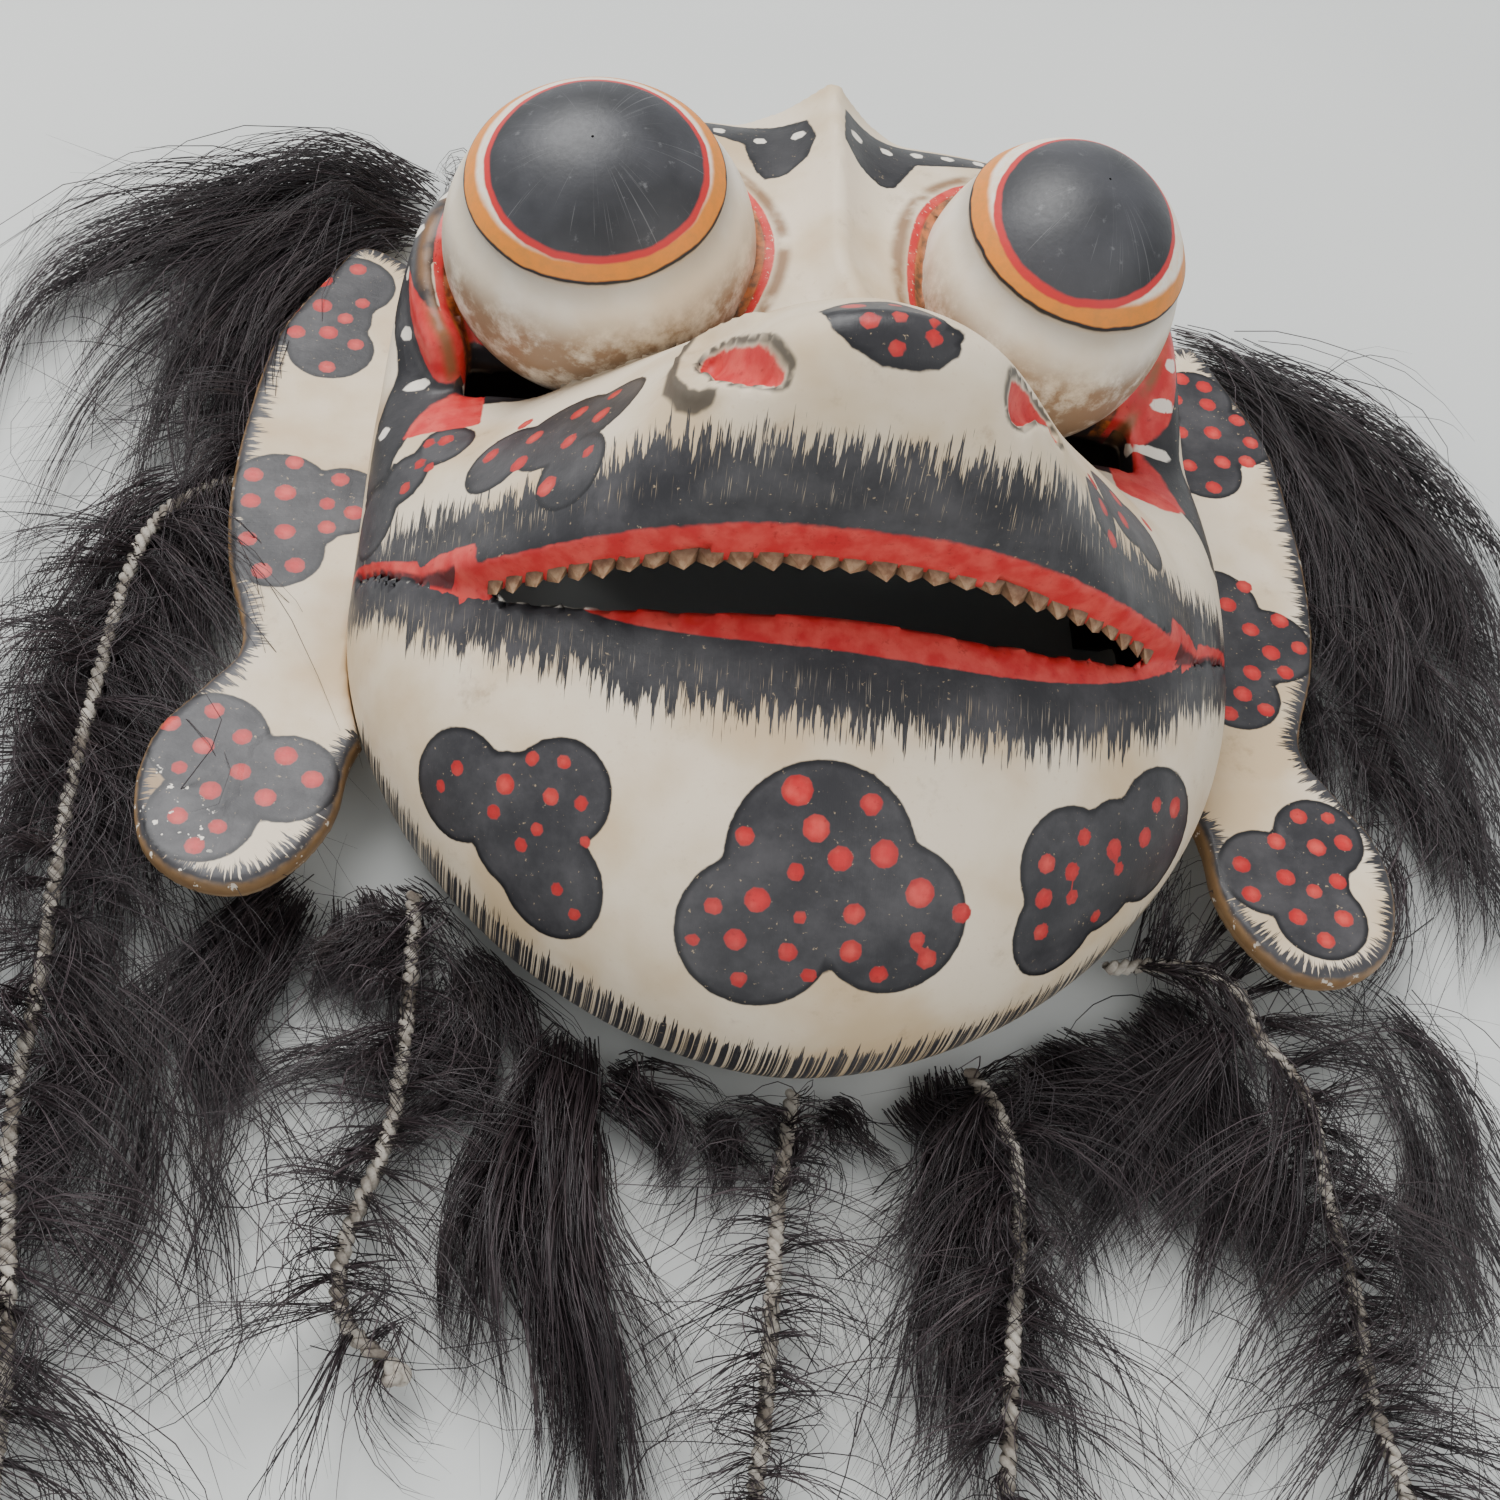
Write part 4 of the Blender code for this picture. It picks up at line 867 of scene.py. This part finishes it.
# Rings of an ellipsoid about the iris's own axis, with a step down at the iris's edge
def makeEye(name, side, material):
    axes, centre = eyeMatrix(side)
    edge = side["rings"][4]
    polar = np.concatenate([np.linspace(0.5, edge - 1.4, 46), np.linspace(edge - 1.1, edge + 2.4, 9),
                            np.linspace(edge + 3.2, 124.0, 48)])
    turn = np.linspace(0.0, 2.0 * math.pi, 112, endpoint=False)
    look = np.array(side["iris"]) / np.linalg.norm(side["iris"])
    across = np.cross((0.0, 1.0, 0.0), look)
    across /= np.linalg.norm(across)
    up = np.cross(look, across)
    sine, cosine = np.sin(np.radians(polar))[:, None, None], np.cos(np.radians(polar))[:, None, None]
    ways = sine * (np.cos(turn)[:, None] * across + np.sin(turn)[:, None] * up) + cosine * look
    half = np.array([side["half"], eye["length"], eye["depth"]])
    grown = 1.0 + eye["step"] * (1.0 - smooth(polar, edge - 1.0, edge + 1.6)) / half[0]
    points = (ways * half * grown[:, None, None]).reshape(-1, 3) @ axes.T + centre
    aim = np.array(side["pupil"]) / np.linalg.norm(side["pupil"])
    pupil = np.degrees(np.arccos(np.clip(ways @ aim, -1, 1)))
    count = len(turn)
    rows = np.arange(len(polar) - 1)[:, None] * count
    base, after = (rows + np.arange(count)).ravel(), (rows + (np.arange(count) + 1) % count).ravel()
    faces = np.stack([base, base + count, after + count, after], axis=1)
    marks = {"polar": np.repeat(polar, count), "pupil": pupil.ravel(),
             "turn": np.tile(np.abs(turn - math.pi), len(polar)),
             "low": smooth(-np.tile(np.sin(turn), len(polar)), -0.5, 0.7)}
    return makeMesh(name, points + shift, faces, material, marks)


# Row of pointed teeth: each a square ring that narrows in steps to its tip
def makeTeeth(material):
    x = np.linspace(-teeth["reach"], teeth["reach"], 400)
    run = np.concatenate([[0.0], np.cumsum(np.hypot(np.diff(x), np.diff(upperLipZ(x))))])
    stops = np.interp(np.linspace(0.0, run[-1], teeth["count"] + 1), run, x)
    middle = 0.5 * (stops[1:] + stops[:-1])
    along = np.stack([np.diff(stops), 0 * middle, np.diff(upperLipZ(stops))], axis=1)
    root = upperLipZ(middle) - snout["wall"] + 0.0026
    centre = np.stack([middle, upperLipY(middle) + 0.0012, root], axis=1)
    level = np.array([0.0, 0.10, 0.35, 0.65, 0.90, 1.0])
    spread = np.array([1.0, 1.0, 0.74, 0.40, 0.13, 0.02])
    corner = np.array([(-1, -1), (0, -1.1), (1, -1), (1.04, 0), (1, 1), (0, 1.1), (-1, 1), (-1.04, 0)]) * 0.5
    tall = teeth["height"] * (1.0 + 0.14 * chance.standard_normal(teeth["count"])) + 0.0012
    aside = 0.0004 * chance.standard_normal(teeth["count"])
    ring = centre[:, None, None] + spread[:, None, None] * corner[:, :1] * along[:, None, None]
    ring = ring + spread[:, None, None] * corner[:, 1:] * np.array([0.0, 0.0, teeth["depth"]])
    ring[..., 1] -= level[:, None] * tall[:, None, None]
    ring[..., 0] += level[:, None] * aside[:, None, None]
    each = len(level) * len(corner)
    base = np.arange(len(level) - 1)[:, None] * len(corner) + np.arange(len(corner))
    after = np.arange(len(level) - 1)[:, None] * len(corner) + (np.arange(len(corner)) + 1) % len(corner)
    quads = np.stack([base, after, after + len(corner), base + len(corner)], axis=-1).reshape(-1, 4)
    faces = (np.arange(teeth["count"])[:, None, None] * each + quads).reshape(-1, 4).tolist()
    faces += [[n * each + each - 8 + k for k in range(8)] for n in range(teeth["count"])]
    tip = np.tile(np.repeat(level, len(corner)), teeth["count"])
    mesh = bpy.data.meshes.new("teeth")
    mesh.from_pydata((ring.reshape(-1, 3) + shift).tolist(), [], faces)
    mesh.attributes.new("tip", "FLOAT", "POINT").data.foreach_set("value", tip.astype(np.float32))
    mesh.materials.append(material)
    made = bpy.data.objects.new("teeth", mesh)
    bpy.context.collection.objects.link(made)
    return made


# Points of the plan from shares of the head's half width and reaches
def planar(shares):
    across, along = np.array(shares, dtype=float).T
    reach = np.where(along < 0, size["jaw"], size["crown"])
    return np.stack([across * size["halfWidth"], along * reach], axis=1)


# Catmull-Rom curve through the points, taken again at even steps
def smoothRoute(points, step, closed=False):
    if closed:
        padded = np.concatenate([points[-1:], points, points[:2]])
    else:
        padded = np.concatenate([2.0 * points[:1] - points[1:2], points, 2.0 * points[-1:] - points[-2:-1]])
    share = np.linspace(0.0, 1.0, 24, endpoint=False)[:, None]
    runs = []
    for a, b, c, d in zip(padded[:-3], padded[1:-2], padded[2:-1], padded[3:]):
        bend = (2.0 * a - 5.0 * b + 4.0 * c - d) * share ** 2 + (3.0 * b - a - 3.0 * c + d) * share ** 3
        runs.append(0.5 * (2.0 * b + (c - a) * share + bend))
    fine = np.concatenate(runs + [padded[-2:-1]])
    run = np.concatenate([[0.0], np.cumsum(np.linalg.norm(np.diff(fine, axis=0), axis=1))])
    stops = np.linspace(0.0, run[-1], max(3, round(run[-1] / step) + 1))
    return np.stack([np.interp(stops, run, fine[:, axis]) for axis in range(fine.shape[1])], axis=1)


# Plate between its outline and two faces with rounded edges, cut back from the head's wall
def makeBoard(name, way, marks, material, cell=0.00135):
    outline = smoothRoute(planar(board["outline"]), 0.002, closed=True)[:-1] * (way, 1.0)
    low = np.append(outline.min(axis=0) - 0.004, -0.024)
    high = np.append(outline.max(axis=0) + 0.004, 0.004)
    points = grid(low, high, cell)
    x, y, z = np.moveaxis(points, -1, 0)
    away = polygonDistance(x[:, :, 0], y[:, :, 0], outline)[0]
    faceTop = board["top"] - size["lift"] - board["fall"] * y
    thick = np.abs(z - faceTop + 0.5 * board["thick"]) - 0.5 * board["thick"]
    field = -united(-(away[..., None] + 0 * z), -thick, 0.0028)
    own = unlean(points)
    field = cut(field, domeField(*np.moveaxis(own, -1, 0), cell) - 0.0004, 0.0004)
    spots, faces = surfaceNet(field, low, cell)
    mm = spots * 1000.0
    edge, along = polygonDistance(spots[:, 0], spots[:, 1], outline)
    edge, along = -edge * 1000.0, along * 1000.0
    level = np.full((len(marks["lobes"]), 1), 0.0)
    lobes = np.column_stack([np.array(marks["lobes"])[:, :2], level, np.array(marks["lobes"])[:, 2] + 0.6])
    lobes = np.concatenate([lobes, lobes.reshape(-1, 3, 4).mean(axis=1)])
    dots = np.array(marks["dots"])
    dots = np.column_stack([dots[:, :2], 0 * dots[:, 0], dots[:, 2]])
    flat = mm * (1.0, 1.0, 0.0)
    topHere = board["top"] - size["lift"] - board["fall"] * spots[:, 1]
    under = np.where(spots[:, 2] < topHere - 0.0045, 30.0, 0.0)
    # only the left board has a worn corner
    corner = 0 * edge
    if way < 0:
        corner = smooth(-np.hypot(spots[:, 0] + 0.138, spots[:, 1] + 0.056), -0.022, -0.006)
    made = makeMesh(name, spots + shift, faces, material, {
        "black": nearLobes(flat, lobes) + under, "dot": nearDots(flat, dots) + under, "edge": edge,
        "across": along, "run": np.maximum(edge - 0.5, 0.0) + under,
        "solid": 0 * edge + 0.3, "reach": 0 * edge + 6.5,
        "stainAndShade": corner * 1.3 + smooth(-edge, -2.5, 0.5) * 0.6, "inside": 0 * edge})
    print(name, len(faces))
    return made


# The cords lie this high over the floor, on the hair that is bound to them
level = cord["hair"] + cord["gap"] + cord["radius"]


# Route of the plan lifted to a height over the floor, in the row frame
def inRow(route, height):
    return np.column_stack([route + shift[:2], np.full(len(route), height)])


# Rings of a tube square to its line, in a frame that keeps its own up
def sweep(line, radius, sides):
    along = np.gradient(line, axis=0)
    along /= np.linalg.norm(along, axis=1)[:, None]
    aside = np.cross(along, (0.0, 0.0, 1.0))
    aside /= np.linalg.norm(aside, axis=1)[:, None]
    up = np.cross(aside, along)
    angle = np.linspace(0.0, 2.0 * math.pi, sides, endpoint=False)
    ring = np.cos(angle)[:, None] * aside[:, None] + np.sin(angle)[:, None] * up[:, None]
    points = (line[:, None] + np.reshape(radius, (-1, 1, 1)) * ring).reshape(-1, 3)
    rows = np.arange(len(line) - 1)[:, None] * sides
    base, after = (rows + np.arange(sides)).ravel(), (rows + (np.arange(sides) + 1) % sides).ravel()
    return points, np.stack([base, after, after + sides, base + sides], axis=1)


# Two plies wound about the route, each a tube whose radius swells a little
def makeCord(name, shares, material):
    route = smoothRoute(planar(shares), cord["step"])
    centres = inRow(route, level)
    line = smoothRoute(centres, cord["fine"])
    along = np.gradient(line, axis=0)
    along /= np.linalg.norm(along, axis=1)[:, None]
    aside = np.cross(along, (0.0, 0.0, 1.0))
    run = np.arange(len(line)) * cord["fine"]
    turn = run / cord["pitch"] * 2.0 * math.pi + 0.6 * np.sin(run * 210.0)
    points, faces, count = [], [], 0
    for ply in (0.0, math.pi):
        off = aside * np.cos(turn + ply)[:, None] + np.array([0.0, 0.0, 1.0]) * np.sin(turn + ply)[:, None]
        radius = cord["ply"] * (1.0 + 0.10 * np.sin(run * 1700.0 + ply) + 0.06 * np.sin(run * 4100.0))
        ring, quads = sweep(line + off * cord["apart"], radius, 9)
        points.append(ring)
        faces.append(quads + count)
        count += len(ring)
    made = makeMesh(name, np.concatenate(points), np.concatenate(faces), material)
    return made, centres, line


# Overhand knot: a trefoil-like loop of the cord's own thickness in a ball's size
def makeKnot(name, centres, material):
    along = centres[-1] - centres[-2]
    along /= np.linalg.norm(along)
    aside = np.cross(along, (0.0, 0.0, 1.0))
    middle = centres[-1] + along * 0.0036
    t = np.linspace(0.0, 2.0 * math.pi, 90)
    local = np.stack([np.cos(t) + 2.0 * np.cos(2 * t), np.sin(t) - 2.0 * np.sin(2 * t),
                      -1.3 * np.sin(3 * t)], axis=1)
    line = middle + local @ np.stack([aside, along, (0.0, 0.0, 1.0)]) * 0.00072
    points, faces = sweep(line, np.full(len(line), 0.0011), 8)
    return makeMesh(name, points, faces, material)


# Three-sided tubes along many paths at once, each thinning to its tip
def strandMesh(name, paths, radius, material):
    count, steps, _ = paths.shape
    along = np.gradient(paths, axis=1)
    along /= np.maximum(np.linalg.norm(along, axis=2), 1e-9)[..., None]
    aside = np.cross(along, (0.15, 0.1, 1.0))
    aside /= np.maximum(np.linalg.norm(aside, axis=2), 1e-9)[..., None]
    up = np.cross(aside, along)
    thin = 1.0 - 0.85 * np.linspace(0.0, 1.0, steps) ** 2.2
    angle = np.array([0.0, 2.0, 4.0]) * math.pi / 3.0 + 0.5
    ring = np.cos(angle)[:, None] * aside[:, :, None] + np.sin(angle)[:, None] * up[:, :, None]
    wide = radius[:, None] * thin
    points = paths[:, :, None] + ring * wide[:, :, None, None]
    points[..., 2] = np.maximum(points[..., 2], 0.0002)
    rows = (np.arange(count)[:, None, None] * steps + np.arange(steps - 1)[:, None]) * 3
    base, after = rows + np.arange(3), rows + (np.arange(3) + 1) % 3
    faces = np.stack([base, after, after + 3, base + 3], axis=-1).reshape(-1, 4)
    tone = np.repeat(np.clip(chance.beta(1.5, 4.0, count), 0.0, 1.0), steps * 3)
    print(name, count, "strands")
    return makeMesh(name, points.reshape(-1, 3), faces, material, {"tone": tone})


# Tufts tied on a cord: paths p = root + L (u d0 + u squared (d1 - d0) / 2), drawn together towards their tips
def tufts(line, count, each, length, spread=0.12, droop=0.6, sweep=1.1, lift=0.010, start=0.05, end=0.99,
          curls=0.2):
    along = np.gradient(line, axis=0)
    along /= np.linalg.norm(along, axis=1)[:, None]
    aside = np.cross(along, (0.0, 0.0, 1.0))
    share = np.linspace(start, end, count) + chance.uniform(-0.5, 0.5, count) / count
    at = np.clip((share * (len(line) - 1)).astype(int), 0, len(line) - 1)
    way = np.where(np.arange(count) % 2 == 0, -1.0, 1.0)[:, None]
    lean = chance.uniform(sweep - 0.3, sweep + 0.3, (count, 1))
    first = along[at] * np.cos(lean) + aside[at] * way * np.sin(lean)
    first[:, 2] += chance.uniform(0.1, 0.7, count)
    drift = chance.uniform(-0.35, 0.35, (count, 1))
    last = first * (1.0 - droop) + np.array([0.0, -droop, 0.0]) + aside[at] * way * drift
    turning = (chance.random(count) < curls)[:, None]
    last = last - aside[at] * way * turning * chance.uniform(0.8, 2.4, (count, 1))
    long = length * chance.uniform(0.55, 1.3, count)
    owner = np.repeat(np.arange(count), each)
    total = count * each
    loose = chance.random((total, 1)) < 0.16
    u = np.linspace(0.0, 1.0, strand["steps"])[None, :, None]
    reach = (long[owner] * (1.0 - 0.65 * chance.random(total) ** 1.6))[:, None, None]
    d0 = first[owner] + (0.16 + 0.25 * loose) * chance.standard_normal((total, 3))
    d1 = last[owner] + (spread + 0.45 * loose) * chance.standard_normal((total, 3))
    path = line[at][owner][:, None] + 0.0008 * chance.standard_normal((total, 1, 3))
    path = path + reach * (u * d0[:, None] + 0.5 * u * u * (d1 - d0)[:, None])
    pace = chance.uniform(3.0, 8.0, (count, 1, 1))[owner]
    wave = np.sin(u * pace + chance.uniform(0, 6.3, (count, 1, 1))[owner])
    path = path + 0.0018 * u * wave * chance.standard_normal((count, 1, 3))[owner]
    crimp = np.sin(u * chance.uniform(4, 12, (total, 1, 1)))
    path = path + 0.0008 * u * crimp * chance.standard_normal((total, 1, 3))
    rise = lift * chance.uniform(0.2, 1.3, (count, 1))[owner] * np.sin(np.pi * np.clip(u[..., 0] * 1.1, 0, 1))
    ground = chance.uniform(0.0008, 0.006, (total, 1))
    height = level * (1.0 - u[..., 0]) + ground * u[..., 0] + rise + 0.35 * (path[..., 2] - level)
    path[..., 2] = np.maximum(height, 0.0005)
    return path


# Strands that follow a route from one share of it to another, in clumps that draw together to their tips
def lockPaths(shares, count, width, start=(0.0, 0.45), span=(0.35, 0.65), lift=0.012, fray=0.6, perClump=20):
    line = smoothRoute(planar(shares), 0.001)
    along = np.gradient(line, axis=0)
    along /= np.linalg.norm(along, axis=1)[:, None]
    aside = np.stack([-along[:, 1], along[:, 0]], axis=1)
    clumps = max(4, count // perClump)
    owner = chance.integers(0, clumps, count)
    begin = chance.uniform(*start, clumps)[owner] + chance.uniform(-0.03, 0.06, count)
    finish = begin + chance.uniform(*span, clumps)[owner] * (1.0 - 0.35 * chance.random(count))
    begin, finish = np.clip(begin, 0.0, 0.9), np.clip(finish, 0.1, 1.0)
    u = np.linspace(0.0, 1.0, strand["steps"])
    share = begin[:, None] + (finish - begin)[:, None] * u
    at = (share * (len(line) - 1)).astype(int)
    centre = chance.standard_normal(clumps)[owner] * 0.80 * width
    lane = 0.15 * width * chance.standard_normal(count)
    swing = chance.standard_normal(clumps)[owner] * fray * width
    loose = (chance.random(count) < 0.12) * chance.standard_normal(count) * 1.6 * width
    offset = centre[:, None] * (0.5 + 0.6 * u) + lane[:, None] * (1.0 - 0.75 * u)
    offset = offset + (swing + loose)[:, None] * u ** 2
    ripple = np.sin(u * chance.uniform(3, 9, (clumps, 1))[owner] + chance.uniform(0, 6.3, (clumps, 1))[owner])
    offset = offset + 0.0022 * ripple * u + 0.0006 * np.sin(u * chance.uniform(6, 14, (count, 1)))
    flat = line[at] + aside[at] * offset[..., None]
    rise = chance.uniform(0.001, 0.007, (count, 1))
    rise = rise + lift * chance.random((clumps, 1))[owner] * np.sin(np.pi * u)
    return np.concatenate([flat + shift[:2], np.maximum(rise, 0.0006)[..., None]], axis=2)


# Single hairs as shallow arcs over the floor
def strays(low, high, count, length):
    root = chance.uniform(low, high, (count, 2))
    heading = chance.uniform(0, 2 * math.pi, count)
    u = np.linspace(0.0, 1.0, strand["steps"])
    turn = heading[:, None] + chance.uniform(-2.6, 2.6, count)[:, None] * u
    step = length * chance.uniform(0.3, 1.2, (count, 1)) / (strand["steps"] - 1)
    flat = np.stack([root[:, :1] + np.cumsum(np.cos(turn) * step, axis=1),
                     root[:, 1:] + np.cumsum(np.sin(turn) * step, axis=1)], axis=2)
    rise = chance.uniform(0.001, 0.012, (count, 1)) * (0.3 + np.sin(np.pi * u))
    return np.concatenate([flat, rise[..., None]], axis=2)


# Only the strands that stay in the space of the part, clear of the head, and near their own cord
def kept(paths, line=None):
    low, high = (-0.2060, -0.2050, 0.0), (0.2060, 0.1870, 0.145)
    good = ((paths > low) & (paths < high)).all(axis=(1, 2))
    own = paths - shift
    good &= (headShare(own[..., 0] / 0.96, own[..., 1] / 0.96) > 1.0).all(axis=1)
    if line is not None:
        near = np.linalg.norm(paths[:, :, None, :2] - line[None, None, ::30, :2], axis=3).min(axis=2)
        good &= (near < 0.072).all(axis=1)
    return paths[good]


makeCamera()
woods = {"head": woodPaint("head paint"), "board": woodPaint("board paint", board=True)}
fibre, twist = hairPaint(), cordPaint()
hairShape = {
    "left_outer": {"count": 70, "each": 25, "length": 0.074, "droop": 0.55, "start": 0.20, "curls": 0.35},
    "left_inner": {
        "count": 34, "each": 18, "length": 0.050, "droop": 0.25, "start": 0.03, "curls": 0.5, "sweep": 1.3
    },
    "chin": {
        "count": 44, "each": 12, "length": 0.034, "droop": 0.42, "start": 0.02, "curls": 0.35, "sweep": 1.3
    },
    "right_inner": {"count": 36, "each": 20, "length": 0.050, "droop": 0.70, "start": 0.02, "curls": 0.3},
    "right_outer": {"count": 66, "each": 22, "length": 0.064, "droop": 0.50, "start": 0.04, "curls": 0.3}
}
# further locks that lie with a string or a free lock: route, strands, half width, starts, spans
more = {
    "left_outer": (
        (
            ((-1.02, -.52), (-1.12, -.72), (-1.20, -1.00), (-1.16, -1.30)), 520, 0.014, (0.0, 0.35),
            (0.4, 0.7)
        ),
        (
            ((-1.30, .42), (-1.46, .20), (-1.50, -.20), (-1.46, -.70), (-1.36, -1.10)), 800, 0.018,
            (0.0, 0.5), (0.3, 0.6)
        ),
        (((-1.36, -.60), (-1.30, -.95), (-1.28, -1.40), (-1.34, -1.85)), 480, 0.022, (0.0, 0.5), (0.3, 0.6))
    ),
    "left_inner": (
        (((-.62, -.78), (-.72, -.98), (-.98, -1.10), (-1.10, -1.30)), 260, 0.014, (0.0, 0.3), (0.5, 0.8)),
        (((-.90, -.56), (-.86, -.72), (-.92, -.88), (-.96, -1.05)), 480, 0.012, (0.0, 0.25), (0.4, 0.7)),
        (((-.68, -.70), (-.62, -.84), (-.60, -1.00), (-.64, -1.20)), 420, 0.012, (0.0, 0.25), (0.5, 0.8))
    ),
    "chin": (
        (((.10, -1.00), (.16, -1.08), (.20, -1.22)), 150, 0.009, (0.0, 0.2), (0.5, 0.8)),
        (((-.12, -1.02), (-.06, -1.12), (-.02, -1.30)), 160, 0.008, (0.0, 0.2), (0.5, 0.8))
    ),
    "right_inner": (
        (((.30, -.94), (.36, -1.00), (.62, -1.06), (.84, -1.20)), 320, 0.010, (0.0, 0.25), (0.4, 0.8)),
        (((.40, -.88), (.44, -1.15), (.40, -1.50), (.42, -1.95)), 900, 0.0125, (0.0, 0.45), (0.35, 0.6)),
        (((.62, -.80), (.74, -.95), (.80, -1.15), (.78, -1.40)), 560, 0.016, (0.0, 0.4), (0.4, 0.7)),
        (((.56, -.82), (.64, -.92), (.70, -1.02), (.66, -1.25)), 520, 0.011, (0.0, 0.25), (0.4, 0.6))
    ),
    "right_outer": (
        (((.82, -.70), (.94, -.90), (1.02, -1.20), (1.02, -1.60)), 560, 0.014, (0.0, 0.5), (0.3, 0.5)),
        (((1.36, -.62), (1.46, -.90), (1.44, -1.35), (1.48, -1.75)), 420, 0.015, (0.0, 0.5), (0.3, 0.5)),
        (((.84, -.66), (.92, -.78), (1.00, -.92), (1.06, -1.10)), 420, 0.010, (0.0, 0.3), (0.4, 0.6))
    ),
    "chin_left": (
        (((-.34, -.93), (-.26, -1.02), (-.16, -1.14), (-.12, -1.30)), 260, 0.010, (0.0, 0.25), (0.4, 0.8)),
        (((-.46, -.86), (-.52, -1.05), (-.56, -1.40), (-.50, -1.75)), 420, 0.009, (0.0, 0.4), (0.4, 0.6))
    ),
    "left_top": (
        (((-1.20, .60), (-1.42, .42), (-1.50, .16), (-1.44, -.10)), 620, 0.018, (0.0, 0.5), (0.3, 0.5)),
        (
            ((-.90, 1.16), (-1.15, 1.12), (-1.42, .80), (-1.50, .45), (-1.45, .10)), 800, 0.018, (0.0, 0.5),
            (0.4, 0.7)
        ),
        (((-.86, 1.22), (-.92, 1.30), (-1.02, 1.33)), 70, 0.010, (0.0, 0.2), (0.5, 0.8))
    ),
    "right_outer_lock": (
        (
            ((1.10, 1.08), (1.34, .86), (1.48, .55), (1.52, .25), (1.48, -.15)), 700, 0.014, (0.0, 0.5),
            (0.4, 0.7)
        ),
        (((1.28, .40), (1.44, .10), (1.52, -.35), (1.44, -.75)), 620, 0.017, (0.0, 0.6), (0.25, 0.5)),
        (
            ((1.36, .52), (1.62, .34), (1.74, .06), (1.70, -.32), (1.52, -.60)), 700, 0.020, (0.0, 0.6),
            (0.2, 0.45)
        )
    )
}
scatter = {
    "left_outer": ((-0.195, -0.17), (-0.13, 0.06), 160, 0.075),
    "right_outer": ((0.09, -0.17), (0.19, -0.02), 140, 0.07),
    "left_top": ((-0.19, 0.05), (-0.09, 0.16), 110, 0.075),
    "right_outer_lock": ((0.11, 0.02), (0.19, 0.15), 70, 0.07),
    "left_inner": ((-0.14, -0.15), (-0.06, -0.09), 90, 0.06),
    "chin": ((-0.02, -0.17), (0.03, -0.10), 60, 0.05)
}


# Adds the further locks and single hairs of one string or lock, and keeps what lies well
def bundle(paths, key, line=None):
    lift = 0.004 if key in strings else 0.012
    for shares, count, width, start, span in more.get(key, ()):
        paths = np.concatenate([paths, lockPaths(shares, count, width, start, span, lift=lift)])
    if key in scatter:
        paths = np.concatenate([paths, strays(*scatter[key])])
    return kept(paths, line)


# Hair of one cord or lock, each strand with a thickness of its own
def makeHair(name, paths):
    return strandMesh(name, paths, chance.uniform(strand["thin"], strand["thick"], len(paths)), fibre)


for name, shares in strings.items():
    title = name.title().replace("_", "")
    tube, centres, line = makeCord(f"cord{title}", shares, twist)
    knot = makeKnot(f"knot{title}", centres, twist)
    paths = bundle(tufts(line, **hairShape[name]), name, line)
    hair = makeHair(f"hair{title}", paths)
    for piece, node in ((tube, "cord"), (knot, "knot"), (hair, "hair")):
        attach(piece, "root")
        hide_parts(f"{node}_{name}")
lockShape = {
    "chin_left": (1000, 0.0080, (0.0, 0.30), (0.60, 0.95)),
    "right_outer": (800, 0.016, (0.0, 0.45), (0.45, 0.75)),
    "left_top": (820, 0.018, (0.0, 0.4), (0.45, 0.75))
}
for name, shares in locks.items():
    key = "right_outer_lock" if name == "right_outer" else name
    paths = bundle(lockPaths(shares, *lockShape[name], lift=0.02), key)
    piece = makeHair(f"lock{name.title().replace('_', '')}", paths)
    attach(piece, "root")
    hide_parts(f"lock_{name}")
print("hair done")

head = makeHead(woods["head"])
carved = [head, makeTeeth(toothPaint())]
for name, side in eyes.items():
    carved.append(makeEye(f"{name}Eye", side, eyePaint(f"{name} eye paint", side["rings"])))
for piece in carved:
    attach(piece, "root")
    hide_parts("head")
for way, name in ((-1, "left"), (1, "right")):
    plate = makeBoard(f"{name}Board", way, boardMarks[name], woods["board"])
    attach(plate, "root")
    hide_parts(f"board_{name}")
print("wood done")


# Pale floor, three soft lamps and a pale room
def makeStage():
    corners = [(-6, -6, -0.0004), (6, -6, -0.0004), (6, 6, -0.0004), (-6, 6, -0.0004)]
    ground = makeMesh("floor", corners, [(0, 1, 2, 3)], floorPaint(), flat=True)
    lamps = {
        "key": ((-0.7, 1.0, 1.7), 1.3, 60.0), "fill": ((1.2, -0.9, 1.3), 1.6, 13.0),
        "low": ((-0.6, -1.6, 0.7), 1.4, 9.0)
    }
    for name, (place, wide, power) in lamps.items():
        lamp = bpy.data.lights.new(name, "AREA")
        lamp.size, lamp.energy = wide, power
        made = bpy.data.objects.new(name, lamp)
        made.location = place
        made.rotation_mode = "QUATERNION"
        made.rotation_quaternion = Vector(place).to_track_quat("Z", "Y")
        bpy.context.collection.objects.link(made)
    world = bpy.data.worlds.new("soft room")
    bpy.context.scene.world = world
    world.use_nodes = True
    world.node_tree.nodes["Background"].inputs["Color"].default_value = (0.80, 0.84, 0.86, 1.0)
    world.node_tree.nodes["Background"].inputs["Strength"].default_value = 0.66


makeStage()
